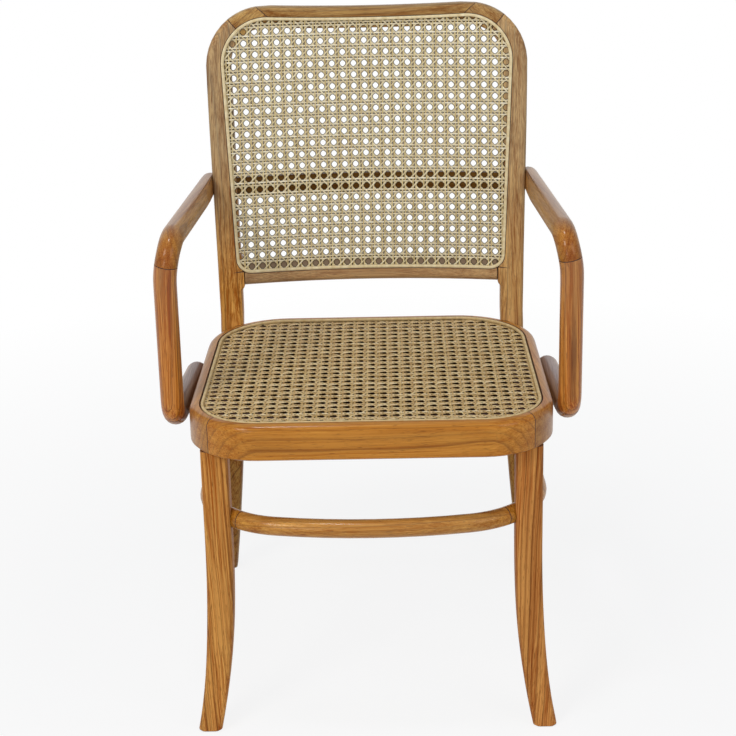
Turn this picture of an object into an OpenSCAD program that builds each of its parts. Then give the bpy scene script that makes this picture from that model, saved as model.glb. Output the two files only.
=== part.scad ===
// Teak armchair with a bent frame look, a caned seat and a caned back.
// X runs to the viewer's right, Y from the front to the back, Z up.
// The origin is on the floor, in the middle of the chair's overall box.

/* [Seat] */
// Height of the seat ring's top above the floor
seat_h = 448; // [430:1:470]
// Width of the seat ring at its front
seat_w = 462; // [445:1:480]
// Depth of the seat ring
seat_d = 430; // [415:1:445]
// How much each side of the ring runs in towards the back
seat_taper = 6; // [2:0.5:10]
// Height of the seat ring's apron
apron_h = 46; // [42:1:54]
// Plan width of the seat ring's rails
rail_w = 44; // [42:1:48]
// Outer radius of the ring's front corners
front_corner_r = 90; // [84:1:96]
// Outer radius of the ring's back corners
back_corner_r = 108; // [104:1:114]
// Radius of the ring's rounded top edge
edge_r = 9; // [5:0.5:12]
// Chamfer along the ring's bottom edge
edge_chamfer = 2.5; // [1:0.5:4]
// Width of the bare rim outside the cane
rim_w = 13; // [11:0.5:15]
// Thickness of the glue blocks in the front corners
block_t = 26; // [18:1:34]

/* [Cane] */
// Depth of the rabbet that holds the cane
rabbet_d = 5.5; // [5:0.25:7]
// Thickness of the woven cane
cane_t = 2; // [1.5:0.25:2.5]
// Width of the reed that locks the cane
spline_w = 4; // [3:0.25:5]
// How far the reed stands above the wood
spline_proud = 0.6; // [0.2:0.1:1.2]
// Spacing of the holes in the seat's net
seat_pitch = 28; // [26:0.5:32]
// Spacing of the holes in the back's net
back_pitch = 27; // [25:0.5:31]
// Strand between two holes, as a share of the spacing
strand_share = 0.42; // [0.35:0.01:0.6]

/* [Front legs] */
// Width of a front leg at its top
leg_w = 34.5; // [32:0.5:37]
// Depth of a front leg at its top
leg_d = 36; // [34:0.5:38]
// Width of a front leg at the floor
leg_foot_w = 31; // [28:0.5:34]
// Depth of a front leg at the floor
leg_foot_d = 30; // [26:0.5:34]
// How far a front leg's centre stands in from the ring's side
leg_inset_x = 34; // [32:0.5:36]
// How far a front leg's centre stands back from the ring's front
leg_inset_y = 52; // [50:0.5:55]
// Outward sweep of a front foot
leg_splay = 24.5; // [10:0.5:34]
// Height where a front leg starts to sweep outwards
leg_bend_h = 300; // [220:5:340]
// Diameter of the tenon on a front leg's top
tenon_d = 18; // [14:0.5:20]
// Length of the tenon on a front leg's top
tenon_l = 28; // [20:1:32]

/* [Posts] */
// Width of a post at the seat
post_w = 32; // [29:0.5:34]
// Depth of a post at the seat
post_d = 30; // [27:0.5:33]
// Width of a rear foot
post_foot_w = 27; // [24:0.5:30]
// Depth of a rear foot
post_foot_d = 28; // [25:0.5:31]
// Depth of the back frame at its top
frame_d = 25; // [22:0.5:28]
// How far a post's outer face stands in from the ring's side
post_inset = 16; // [14:0.5:17]
// How far a post's front face stands in from the ring's back
post_set = 38; // [35:0.5:40]
// Backward sweep of a rear foot
rear_sweep = 131; // [100:1:150]
// Outward sweep of a rear foot
rear_splay = 39.5; // [20:0.5:50]

/* [Back] */
// Angle that the back leans by
recline = 4.5; // [2:0.25:8]
// Depth of the back's curve, from side to side
back_curve = 30; // [15:1:40]
// Height of the cane opening's bottom above the seat
panel_low = 74; // [66:1:84]
// Height of the cane opening's top above the seat
panel_high = 430.5; // [405:0.5:450]
// How far the cane opening's side stands in from the seat ring's side, at its bottom
panel_low_in = 42.2; // [40:0.1:44.5]
// How far the cane opening's side stands in from the seat ring's side, at its top
panel_high_in = 28.5; // [26:0.5:32]
// Radius of the cane opening's bottom corners
panel_low_r = 22; // [18:1:26]
// Radius of the cane opening's top corners
panel_high_r = 62.5; // [56:0.5:70]
// How much the top edge dips in the middle
top_dip = 3.5; // [1:0.5:8]
// Wood above the cane on the top rail
top_face = 15; // [12:0.5:18]
// Wood beside the cane on the upper posts
stile_face = 19.5; // [18:0.5:23]
// Wood under the cane on the bottom rail
bottom_face = 17; // [14:0.5:20]
// Ledge behind the cane on the top rail
top_ledge = 15; // [12:0.5:18]
// Ledge behind the cane on the bottom rail
bottom_ledge = 16; // [12:0.5:20]
// Height of the middle rail's lower edge above the seat
mid_rail_low = 182.5; // [150:0.5:210]
// Height of the middle rail
mid_rail_h = 28.5; // [20:0.5:36]
// Thickness of the middle rail
mid_rail_t = 13; // [9:0.5:15]

/* [Arms] */
// Diameter of the round arm bars
arm_d = 29.4; // [27:0.2:31]
// Height of the arm's middle at its front bend
arm_h = 659; // [640:1:675]
// Drop of the arm's middle from the front bend to the back
arm_fall = 11; // [4:1:20]
// Distance of the arm post behind the seat's front
arm_post_y = 89; // [80:1:100]
// Distance of the arm post's middle outside the ring's side
arm_post_out = 20; // [18.5:0.5:22]
// How far the upper bend leans in
arm_lean = 8.5; // [4:0.5:11]
// Radius of the upper bend
arm_bend_r = 30; // [26:0.5:31]
// Radius of the lower bend
arm_low_bend_r = 27; // [24:1:32]
// Distance of the arm's back end behind the post's front
arm_tail = 22; // [18:1:26]
// Distance between the arm's middle and the post's outer face
arm_gap = 5; // [3:0.5:8]
// Length of the arm foot along the seat
arm_foot_l = 190; // [175:1:205]
// Distance of the arm foot's back end outside the ring's side
arm_foot_out = 11; // [10:0.5:12.5]

/* [Stretcher] */
// Diameter of the stretcher hoop
hoop_d = 24; // [21:0.5:26]
// Height of the hoop's middle
hoop_h = 304.5; // [285:0.5:330]
// Distance of the hoop's front behind the seat's front
hoop_front = 11; // [9:0.5:14]
// Radius of the hoop's front bow
hoop_bow_r = 640; // [480:10:760]
// Distance from a front leg's middle to where the front bow meets the corner
hoop_bow_in = 75; // [68:0.5:78]
// Radius of the hoop's front corners
hoop_corner_r = 115; // [112:0.5:118]
// Distance from a front leg's middle to the hoop's joint
hoop_joint_in = 30; // [24:0.5:36]

/* [Joinery] */
// Diameter of the large dowels
dowel_d = 8; // [6:0.5:9]
// Diameter of the dowels in the seat ring
ring_dowel_d = 6; // [5:0.5:7]
// Length of a dowel
dowel_l = 30; // [24:1:34]
// Diameter of a screw's shank
screw_d = 4; // [3:0.5:5]
// Diameter of a screw's head
screw_head_d = 8; // [6.5:0.5:9]
// Clearance of each glued face and hole wall
glue = 0.05; // [0.03:0.01:0.1]
// Clearance of the cane's edge in its rabbet
cane_fit = 0.3; // [0.25:0.05:0.6]

/* [Hidden] */
$fn = 48;

teak = "#b27a3e";
teak_light = "#c08c50";
teak_dark = "#9c6430";
cane_colour = "#c9b070";
reed_colour = "#d8c288";
steel = "#b8b8b4";

// Angles on the ring's corners, from the X axis, where the rails meet
front_split = -46;
back_split = 75;
// Shares of a leg's outline
leg_sweep_power = 2.6;
rear_sweep_power = 1.3;
rear_splay_power = 1.55;
leg_round = 7;
foot_ease = 3;

half_w = seat_w / 2;
panel_low_w = half_w - panel_low_in;
panel_high_w = half_w - panel_high_in;
ring_z = seat_h - apron_h;
// Rounded trapezoids: low edge, high edge, half widths there, corner radii
ring = [0, seat_d, half_w, half_w - seat_taper, front_corner_r, back_corner_r];
panel = [panel_low, panel_high, panel_low_w, panel_high_w, panel_low_r, panel_high_r];

function hundredth(v) = round(100 * v) / 100;
function side_lean(s) = hundredth(atan((s[2] - s[3]) / (s[1] - s[0])));
function low_c(s) = [
    hundredth(s[2] - s[4] * (1 + sin(side_lean(s))) / cos(side_lean(s))), s[0] + s[4]];
function high_c(s) = [
    hundredth(s[2] - (s[5] + (s[1] - s[5] - s[0]) * sin(side_lean(s))) / cos(side_lean(s))), s[1] - s[5]];
// Half width of the straight side at a height, less an inward offset
function side_x(s, y, d) = s[2] - (y - s[0]) * tan(side_lean(s)) - d / cos(side_lean(s));
// Is a point inside the outline by a margin
function inside(s, x, y, m) =
    let (ax = abs(x), l = low_c(s), h = high_c(s))
    y > s[0] + m && y < s[1] - m && ax < side_x(s, y, m)
    && !(ax > l[0] && y < l[1] && norm([ax, y] - l) > s[4] - m)
    && !(ax > h[0] && y > h[1] && norm([ax, y] - h) > s[5] - m);

post_out_x = half_w - post_inset;
post_in_x = post_out_x - post_w;
// The chair stands with its overall box centred on the origin
post_front_y = seat_d - post_set;
rear_foot_y = post_front_y
    + rear_sweep * pow((seat_h - foot_ease) / seat_h, rear_sweep_power) + post_foot_d;
box_front_y = min(0, hoop_front - hoop_d / 2);
y_shift = -hundredth((rear_foot_y + box_front_y) / 2);

module place() { translate([0, y_shift, 0]) children(); }
module on_side(side) {
    if (side < 0) mirror([1, 0, 0]) children();
    else children();
}

// A filled rounded trapezoid, set in by d
module outline(s, d) {
    a = side_lean(s);
    n = [cos(a), sin(a)];
    l = low_c(s);
    h = high_c(s);
    p = l + (s[4] - d) * n;
    q = h + (s[5] - d) * n;
    polygon([[-l[0], s[0] + d], [l[0], s[0] + d], p, q, [h[0], s[1] - d], [-h[0], s[1] - d],
             [-q[0], q[1]], [-p[0], p[1]]]);
    for (m = [-1, 1]) {
        translate([m * l[0], l[1]]) circle(r = s[4] - d);
        translate([m * h[0], h[1]]) circle(r = s[5] - d);
    }
}

// Sweeps

// A closed skin over rings of points, each with as many points. The ends fan out from the first point.
module skin(rings) {
    n = len(rings[0]);
    m = len(rings);
    end = (m - 1) * n;
    polyhedron(
        points = [for (r = rings, p = r) p],
        faces = concat(
            [for (i = [1 : n - 2]) [0, i + 1, i]],
            [for (i = [1 : n - 2]) [end, end + i, end + i + 1]],
            [for (j = [0 : m - 2], i = [0 : n - 1])
                let (k = (i + 1) % n) [j * n + i, j * n + k, (j + 1) * n + k]],
            [for (j = [0 : m - 2], i = [0 : n - 1])
                let (k = (i + 1) % n) [j * n + i, (j + 1) * n + k, (j + 1) * n + i]]));
}
// Rings of a round bar: at a point, and round a bend at corner v between p and q
bar_sides = 20;
function unit(v) = v / norm(v);
function bar_ring(c, along, ref, r) =
    let (u = unit(cross(along, ref)), v = cross(along, u))
    [for (i = [0 : bar_sides - 1]) let (a = -360 * i / bar_sides) c + r * (cos(a) * u + sin(a) * v)];
function turn_of(p, v, q) = acos(unit(v - p) * unit(q - v));
function reach_of(p, v, q, r) = r * tan(turn_of(p, v, q) / 2);
function turn_in(p, v, q, r) = v - reach_of(p, v, q, r) * unit(v - p);
function turn_out(p, v, q, r) = v + reach_of(p, v, q, r) * unit(q - v);
function bend_rings(p, v, q, bend, ref, r, from, to, steps) =
    let (d = unit(v - p), e = unit(q - v), n = unit(e - (d * e) * d), c = turn_in(p, v, q, bend) + bend * n)
    [for (i = [0 : steps])
        let (a = turn_of(p, v, q) * mix(from, to, i / steps))
        bar_ring(c + bend * (sin(a) * d - cos(a) * n), cos(a) * d + sin(a) * n, ref, r)];
// Rings that close a bar's end with a round nose of a given length
function nose_rings(c, out, along, ref, r, l) = [for (a = [12, 28, 46, 66])
    bar_ring(c + out * l * cos(a), along, ref, r * sin(a))];
function smooth(t) = let (c = max(0, min(1, t))) c * c * (3 - 2 * c);
function mix(a, b, t) = a + (b - a) * t;

// Seat ring

ledge_z = apron_h - rabbet_d;
// Cross section of a rail, grown by g: x is 0 at the outer wall and negative inwards, y is height
function rail_points(g = 0, inner = [[-rim_w, ledge_z], [-rail_w, ledge_z]]) = concat(
    inner, [[-rail_w, -g], [-edge_chamfer, -g], [g, edge_chamfer]],
    [for (i = [0 : 5]) [-edge_r, apron_h - edge_r] + (edge_r + g) * [cos(18 * i), sin(18 * i)]],
    [[-rim_w, apron_h + g]]);
// Rings of the rail round a corner of the ring between two angles
function rail_rings(c, r, from, to, side = 1) =
    let (n = ceil(abs(to - from) / 7.5))
    [for (i = [0 : n])
        let (a = mix(from, to, i / n))
        [for (p = rail_points()) [side * c[0] + (r + p[0]) * cos(a), c[1] + (r + p[0]) * sin(a), ring_z + p[1]]]];
// The solid rail round the ring's back corner, as a post's housing sees it
module rail_corner(g) {
    translate([back_c[0], back_c[1], ring_z]) rotate([0, 0, lean])
        rotate_extrude(angle = back_split - lean, $fn = 96) translate([back_corner_r, 0])
            polygon(rail_points(g, [[-rail_w, apron_h + g]]));
}
front_c = low_c(ring);
back_c = high_c(ring);
lean = side_lean(ring);

// Places where the front legs and the posts meet the ring
leg_x = half_w - leg_inset_x;
leg_y = leg_inset_y;
module leg_tenon(grow = 0) {
    translate([leg_x, leg_y, ring_z - 1]) cylinder(d = tenon_d + 2 * grow, h = tenon_l + 1 + grow);
}
// Dowels across a ring joint: one near the outer wall, one near the inner wall
dowel_offsets = [7, rail_w - 6];
dowel_z = ring_z + 18;
module ring_joint_dowels(c, r, angle, grow = 0) {
    for (d = dowel_offsets)
        translate([c[0], c[1], dowel_z]) rotate([0, 0, angle]) translate([r - d, 0, 0])
            rotate([90, 0, 0]) cylinder(d = ring_dowel_d + 2 * grow, h = dowel_l + 2 * grow, center = true);
}
module all_ring_dowels(grow = 0) {
    ring_joint_dowels(front_c, front_corner_r, front_split, grow);
    ring_joint_dowels(back_c, back_corner_r, back_split, grow);
}
// Screws that hold the ring to a post: driven outwards from inside the ring
post_screw_l = 58;
post_screw_angle = 44;
post_screw_z = [ring_z + 13, ring_z + 31];
module screw(l, grow = 0) {
    cylinder(d = screw_d + 2 * grow, h = l + grow);
    cylinder(d1 = screw_head_d + 2 * grow, d2 = screw_d + 2 * grow, h = screw_head_d / 3);
    if (grow > 0) translate([0, 0, -rail_w]) cylinder(d = screw_head_d + 2 * grow, h = rail_w + 0.01);
}
module post_screw_pair(grow = 0) {
    for (z = post_screw_z)
        translate([back_c[0], back_c[1], z]) rotate([0, 0, post_screw_angle])
            translate([back_corner_r - rail_w + 6, 0, 0]) rotate([0, 90, 0]) screw(post_screw_l, grow);
}
// Screws that hold the arm foot: driven outwards from inside the ring
arm_screw_l = 48;
arm_screw_y = [0.62, 0.86];
arm_axis_z = ring_z + apron_h / 2;
module arm_screw_pair(grow = 0) {
    for (k = arm_screw_y)
        translate([side_x(ring, arm_post_y + arm_foot_l * k, rail_w) + 4, arm_post_y + arm_foot_l * k,
                   arm_axis_z]) rotate([0, 90, 0]) screw(arm_screw_l, grow);
}

module seat_front_rail() color(teak) place() {
    difference() {
        skin(concat(rail_rings(front_c, front_corner_r, -180 - front_split, -90, -1),
                    rail_rings(front_c, front_corner_r, -90, front_split)));
        for (side = [-1, 1]) on_side(side) ring_joint_dowels(front_c, front_corner_r, front_split, glue);
    }
}
module seat_side_rail(side) color(teak) place() on_side(side) {
    gap = asin(glue / front_corner_r);
    difference() {
        skin(concat(rail_rings(front_c, front_corner_r, front_split + gap, lean),
                    rail_rings(back_c, back_corner_r, lean, back_split - gap)));
        leg_tenon(glue);
        all_ring_dowels(glue);
        post_screw_pair(glue);
        arm_screw_pair(glue);
    }
}
module seat_back_rail() color(teak) place() {
    difference() {
        skin(concat(rail_rings(back_c, back_corner_r, back_split, 90),
                    rail_rings(back_c, back_corner_r, 90, 180 - back_split, -1)));
        for (side = [-1, 1]) on_side(side) ring_joint_dowels(back_c, back_corner_r, back_split, glue);
    }
}
module seat_corner_blocks() color(teak_light) place() {
    reach = front_corner_r + 26;
    for (side = [-1, 1]) on_side(side)
        translate([0, 0, ring_z + ledge_z - block_t]) linear_extrude(block_t - glue) intersection() {
            outline(ring, rail_w + glue);
            polygon([[half_w, 0], [half_w, reach], [half_w - rail_w, reach],
                     [half_w - reach, rail_w], [half_w - reach, 0]]);
        }
}

// Cane and reed of the seat

// Centres of the net's holes that lie whole inside an outline
function net(s, pitch, margin) = [
    for (j = [-12 : 12], i = [-12 : 12])
        let (x = i * pitch, y = (s[0] + s[1]) / 2 + j * pitch)
        if (inside(s, x, y, margin + pitch * (1 - strand_share) / 2)) [x, y]];
module net_sheet(s, pitch, in, margin) {
    difference() {
        outline(s, in);
        for (p = net(s, pitch, margin))
            translate(p) square(pitch * (1 - strand_share), center = true);
    }
}
module seat_cane() color(cane_colour) place()
    translate([0, 0, ring_z + ledge_z + glue]) linear_extrude(cane_t)
        net_sheet(ring, seat_pitch, rim_w + cane_fit, rim_w + spline_w + 4);
module seat_spline() color(reed_colour) place()
    translate([0, 0, ring_z + ledge_z + cane_t + 2 * glue])
        linear_extrude(rabbet_d - cane_t + spline_proud) difference() {
            outline(ring, rim_w + cane_fit);
            outline(ring, rim_w + spline_w);
        }

// Front legs

// Rounded rectangle, clockwise from above, with a width, a depth and a corner radius
function round_rect(c, w, d, r, z) = [
    for (q = [0 : 3], i = [0 : 3])
        let (a = -(q * 90 + i * 30), sx = (q == 0 || q == 3) ? 1 : -1, sy = q < 2 ? -1 : 1)
        [c[0] + sx * (w / 2 - r) + r * cos(a), c[1] + sy * (d / 2 - r) + r * sin(a), z]];
leg_steps = 20;
function leg_ring(z, ease) =
    let (out = leg_splay * pow(max(0, leg_bend_h - z) / leg_bend_h, leg_sweep_power),
         t = smooth(z / (0.6 * leg_bend_h)))
    round_rect([leg_x + out, leg_y], mix(leg_foot_w, leg_w, t) - 2 * ease,
               mix(leg_foot_d, leg_d, t) - 2 * ease, leg_round - ease / 2, z);
module front_leg(side) color(teak_dark) place() on_side(side) {
    difference() {
        union() {
            skin(concat([leg_ring(0, foot_ease), leg_ring(foot_ease, 0)],
                [for (i = [1 : leg_steps]) leg_ring(mix(foot_ease, ring_z, i / leg_steps), 0)]));
            leg_tenon();
        }
        hoop_corner(glue);
        leg_screw(glue);
    }
}

// Stretcher hoop

hoop_r = hoop_d / 2;
hoop_bow_x = leg_x - hoop_bow_in;
hoop_joint_x = leg_x - hoop_joint_in;
bow_angle = asin(hoop_bow_x / hoop_bow_r);
bow_c = [0, hoop_front + hoop_bow_r];
bow_end = bow_c + hoop_bow_r * [sin(bow_angle), -cos(bow_angle)];
corner_c = bow_end + hoop_corner_r * [-sin(bow_angle), cos(bow_angle)];
// Angle on the corner, from straight ahead, where the hoop's pieces meet
joint_angle = asin((hoop_joint_x - corner_c[0]) / hoop_corner_r);
// The side runs straight from the corner to the middle of the rear leg's front
function rear_front_y(z) = post_front_y + rear_sweep * pow((seat_h - z) / seat_h, rear_sweep_power);
rear_fit_y = rear_front_y(hoop_h);
side_end_x = post_mid_x(hoop_h);
side_way = [side_end_x, rear_fit_y] - corner_c;
side_angle = atan2(side_way[1], side_way[0]) - acos(hoop_corner_r / norm(side_way));
function hoop_point(c, r, a) = [c[0] + r * cos(a), c[1] + r * sin(a), hoop_h];
function hoop_rings(c, r, from, to, steps) = [for (i = [0 : steps])
    let (a = mix(from, to, i / steps)) bar_ring(hoop_point(c, r, a), [-sin(a), cos(a), 0], [0, 0, 1], hoop_r)];

// The round bar of the hoop's corner, as the front leg's housing sees it
module hoop_corner(grow = 0) {
    translate([corner_c[0], corner_c[1], hoop_h]) rotate([0, 0, bow_angle - 90])
        rotate_extrude(angle = 90, $fn = 96) translate([hoop_corner_r, 0]) circle(r = hoop_r + grow);
}
module hoop_dowel(grow = 0) {
    translate([corner_c[0], corner_c[1], hoop_h]) rotate([0, 0, joint_angle - 90])
        translate([hoop_corner_r, 0, 0]) rotate([90, 0, 0])
            cylinder(d = dowel_d + 2 * grow, h = dowel_l + 2 * grow, center = true);
}
// Dowel from the hoop's end into the rear leg
module hoop_end_dowel(grow = 0) {
    translate([side_end_x, rear_fit_y - dowel_l / 2, hoop_h]) rotate([-90, 0, side_angle])
        cylinder(d = dowel_d + 2 * grow, h = dowel_l - 8 + grow);
}
// Screw from inside, through the hoop, into a front leg
leg_cross_y = corner_c[1] - sqrt(pow(hoop_corner_r, 2) - pow(leg_x - corner_c[0], 2));
module leg_screw(grow = 0) {
    translate([leg_x, leg_cross_y + hoop_r - 1, hoop_h]) rotate([90, 0, 0]) screw(hoop_d + 16, grow);
}
module stretcher_front() color(teak) place() {
    right = concat(hoop_rings(bow_c, hoop_bow_r, -90, bow_angle - 90, 4),
                   [for (i = [1 : 6]) hoop_rings(corner_c, hoop_corner_r, bow_angle - 90,
                                                 joint_angle - 90, 6)[i]]);
    difference() {
        skin(concat([for (i = [10 : -1 : 1]) [for (p = right[i]) [-p[0], p[1], p[2]]]], right));
        for (side = [-1, 1]) on_side(side) hoop_dowel(glue);
    }
}
module stretcher_side(side) color(teak) place() on_side(side) {
    last = hoop_point(corner_c, hoop_corner_r, side_angle);
    way = [-sin(side_angle), cos(side_angle), 0];
    difference() {
        skin(concat(hoop_rings(corner_c, hoop_corner_r, joint_angle - 90, side_angle, 10),
                    [bar_ring(last + way * (norm([side_end_x, rear_fit_y, hoop_h] - last) + hoop_d),
                              way, [0, 0, 1], hoop_r)]));
        rear_leg_front(glue);
        hoop_dowel(glue);
        hoop_end_dowel(glue);
        leg_screw(glue);
    }
}

// Posts and back frame

curve_half = panel_high_w - 2.5;
curve_r = (curve_half * curve_half + back_curve * back_curve) / (2 * back_curve);
curve_y = -sqrt(curve_r * curve_r - curve_half * curve_half);
// A point of the back: x across, b behind the front face, u up the lean; k is the share of the curve
function back_point(x, b, u, k = 1) = [x, b + k * (curve_y + sqrt(curve_r * curve_r - x * x)), u];
module back_place() translate([0, post_front_y, seat_h]) rotate([-recline, 0, 0]) children();

post_flare = panel_high_w - 2 + stile_face - post_out_x;
haunch = 4;
frame_joint_x = post_in_x - haunch;
rail_low = panel_low - bottom_face;
rail_high = panel_low + bottom_ledge;
corner_u = high_c(panel)[1];
arc_x = high_c(panel)[0];
low_arc = low_c(panel);
// Height where the opening's corner leaves the post
step_u = low_arc[1] - sqrt(pow(panel_low_r, 2) - pow(frame_joint_x - low_arc[0], 2));

// Cross section of the frame: a outwards from the cane's edge, b behind the front face
function frame_section(ao, ai, t, rab, ease, ri) =
    let (ro = 8)
    concat(
        [for (i = [0 : 3]) [ao - ro + ro * cos(30 * i), ro - ro * sin(30 * i)]],
        [[0, 0], [-0.5, rab]],
        [for (i = [0 : 2]) [-ai + ease - ease * sin(45 * i), rab + ease - ease * cos(45 * i)]],
        [for (i = [0 : 3]) [-ai + ri - ri * cos(30 * i), t - ri + ri * sin(30 * i)]],
        [for (i = [0 : 3]) [ao - ro + ro * sin(30 * i), t - ro + ro * cos(30 * i)]]);

// The post's outline above the seat
function post_out(u) = post_out_x + post_flare * smooth(u / corner_u);
function post_in(u) = mix(post_in_x, post_in_x + haunch, u / corner_u)
    - haunch * smooth((u - rail_low + 9) / 8) * (1 - smooth((u - rail_high) / 12));
function step_x(u) = u < step_u ? post_in(u) + 8
    : u < low_arc[1] ? low_arc[0] + sqrt(pow(panel_low_r, 2) - pow(low_arc[1] - u, 2))
    : side_x(panel, u, 0);
function post_depth(u) = mix(post_d, frame_d, smooth(u / corner_u));
function at_joint(u) = smooth((u - rail_low + 6) / 5) * (1 - smooth((u - rail_high) / 6));
// A level ring of the post above the seat
function post_ring(u) =
    let (s = step_x(u), cut = u < step_u ? 0 : rabbet_d, free = 1 - at_joint(u))
    [for (p = frame_section(post_out(u) - s, s - post_in(u), post_depth(u), cut,
                            cut > 0 ? 0.4 + free : 0.5 + 4.5 * free, 0.5 + 4.5 * free))
        back_point(s + p[0], p[1], u, smooth(u / (rail_low - 8)))];
// A ring round the top corner, square to the cane's edge
function turn_section(q) =
    frame_section(mix(post_out(corner_u) - side_x(panel, corner_u, 0), top_face, min(1, q)),
                  mix(side_x(panel, corner_u, 0) - post_in(corner_u), top_ledge, min(1, q)),
                  frame_d, rabbet_d, 1.4, 5);
// The top edge's dip
dip_r = (arc_x * arc_x + top_dip * top_dip) / (2 * top_dip);
function dip(x) = abs(x) > arc_x ? 0 : top_dip - (dip_r - sqrt(dip_r * dip_r - x * x));
// A place on the frame: q runs from 0 to 1 round the corner and from 1 to 2 to the middle
function turn_place(q, a) =
    q <= 1 ? [arc_x + (panel_high_r + a) * cos(90 * q), corner_u + (panel_high_r + a) * sin(90 * q)]
    : [arc_x * (2 - q), panel_high + a - dip(arc_x * (2 - q))];
function turn_ring(q) = [for (p = turn_section(q))
    let (w = turn_place(q, p[0])) back_point(w[0], p[1], w[1])];
corner_split = 50 / 90;
// The scarf between corner and top rail: it starts nearer the middle at the cane's side
function scarf_q(a) = 1 - 0.13 * a / top_face + 0.02;
function scarf_ring(t, gap) = [for (p = turn_section(mix(corner_split, 1, min(1, t))))
    let (q = mix(mix(corner_split, scarf_q(p[0]), min(1, t)), 2, max(0, t - 1)) + gap,
         w = turn_place(q, p[0]))
    back_point(w[0], p[1], w[1])];

// The lower part of a post, which is a rear leg
function post_mid_x(z) = post_in_x + rear_splay * pow((seat_h + 32 - z) / (seat_h + 32), rear_splay_power)
    + mix(post_foot_w, post_w, z / seat_h) / 2;
function leg_back_ring(z, ease) =
    let (w = mix(post_foot_w, post_w, z / seat_h) - 2 * ease, x = post_mid_x(z),
         d = mix(post_foot_d, post_d, z / seat_h), xi = x - w / 2,
         f = frame_section(w - 8, 8, d - 2 * ease, 0, 5, 5))
    [for (p = f) [xi + 8 + p[0], rear_front_y(z) + ease + p[1], z]];
rear_steps = 16;
post_levels = concat(
    [for (i = [1 : 3]) i * (rail_low - 12) / 3],
    [rail_low - 8, rail_low - 5, rail_low - 3, rail_low - 0.5, (rail_low + step_u) / 2,
     step_u - 0.2, step_u + 0.8, mix(step_u, low_arc[1], 0.35), mix(step_u, low_arc[1], 0.65),
     rail_high, low_arc[1] + 2, rail_high + 7, rail_high + 14],
    [for (i = [1 : 9]) mix(rail_high + 14, corner_u, i / 9)]);
module post_body() {
    skin(concat(
        [leg_back_ring(0, foot_ease), leg_back_ring(foot_ease, 0)],
        [for (i = [1 : rear_steps]) leg_back_ring(mix(foot_ease, seat_h - 6, i / rear_steps), 0)],
        [for (u = post_levels) [for (p = post_ring(u)) leaned(p)]],
        [for (i = [1 : 6]) [for (p = turn_ring(corner_split * i / 6 - (i == 6 ? 0.0004 : 0))) leaned(p)]]));
}
function leaned(p) = [p[0], post_front_y + p[1] * cos(recline) + p[2] * sin(recline),
                      seat_h + p[2] * cos(recline) - p[1] * sin(recline)];
// The straight block that stands for a rear leg's front face at the hoop
module rear_leg_front(grow = 0) {
    slope = atan((rear_front_y(hoop_h - hoop_r) - rear_front_y(hoop_h + hoop_r)) / hoop_d);
    translate([0, rear_fit_y - grow, hoop_h]) rotate([-slope, 0, 0])
        translate([0, 0, -hoop_d]) cube([seat_w, 2 * hoop_d, 2 * hoop_d]);
}
module post(side) color(teak) place() on_side(side) {
    difference() {
        post_body();
        rail_corner(glue);
        post_screw_pair(glue);
        hoop_end_dowel(glue);
        back_place() frame_side_dowels(glue);
        arm_tail_dowel(glue);
    }
}

// Dowels of the back frame, on the right side
frame_mid = frame_d / 2 + rabbet_d / 2;
module frame_dowel(x, u, turn, grow, l = dowel_l) {
    s = x / curve_r;
    p = back_point(x, frame_mid, u);
    translate(p) rotate([0, 0, -asin(s)]) rotate([0, turn, 0])
        cylinder(d = dowel_d + 2 * grow, h = l + 2 * grow, center = true);
}
module frame_side_dowels(grow = 0) {
    frame_dowel(frame_joint_x, (rail_low + panel_low) / 2 + 2, 90, grow);
    mid_rail_dowel(grow);
    corner_dowel(grow);
}
module mid_rail_dowel(grow = 0) {
    frame_dowel(post_in(mid_rail_low), mid_rail_low + mid_rail_h / 2, 90, grow, dowel_l * 0.8);
}
module corner_dowel(grow = 0) {
    w = turn_place(corner_split, 2);
    frame_dowel(w[0], w[1], 90 * corner_split - 90 + 90, grow, dowel_l * 0.8);
}
module scarf_dowel(grow = 0) {
    w = turn_place(scarf_q(0), 0);
    frame_dowel(w[0], w[1], 90, grow, dowel_l * 0.8);
}

module back_corner(side) color(teak_light) place() on_side(side) back_place() {
    difference() {
        skin([for (i = [0 : 6]) scarf_ring(i / 6, i == 0 ? 0.0004 : i == 6 ? -0.0004 : 0)]);
        corner_dowel(glue);
        scarf_dowel(glue);
    }
}
module back_top_rail() color(teak) place() back_place() {
    right = [for (i = [0 : 7]) scarf_ring(1 + i / 7, 0)];
    difference() {
        skin(concat(right, [for (i = [6 : -1 : 0]) [for (p = right[i]) [-p[0], p[1], p[2]]]]));
        for (side = [-1, 1]) on_side(side) scarf_dowel(glue);
    }
}
function low_edge(x) = abs(x) < low_arc[0] ? panel_low
    : low_arc[1] - sqrt(pow(panel_low_r, 2) - pow(abs(x) - low_arc[0], 2));
function bottom_ring(x) = let (s = low_edge(x), end = smooth((abs(x) - low_arc[0] - 6) / 7))
    [for (p = frame_section(s - rail_low, rail_high - s, mix(frame_d, post_depth(rail_low), end),
                            rabbet_d, 1.4, 5))
        back_point(x, p[1], s - p[0])];
module back_bottom_rail() color(teak) place() back_place() {
    end = frame_joint_x - glue;
    xs = concat([for (i = [0 : 4]) mix(-end, -low_arc[0], i / 4)],
                [for (i = [1 : 11]) mix(-low_arc[0], low_arc[0], i / 12)],
                [for (i = [0 : 4]) mix(low_arc[0], end, i / 4)]);
    difference() {
        skin([for (x = xs) bottom_ring(x)]);
        for (side = [-1, 1]) on_side(side)
            frame_dowel(frame_joint_x, (rail_low + panel_low) / 2 + 2, 90, glue);
    }
}
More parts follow.
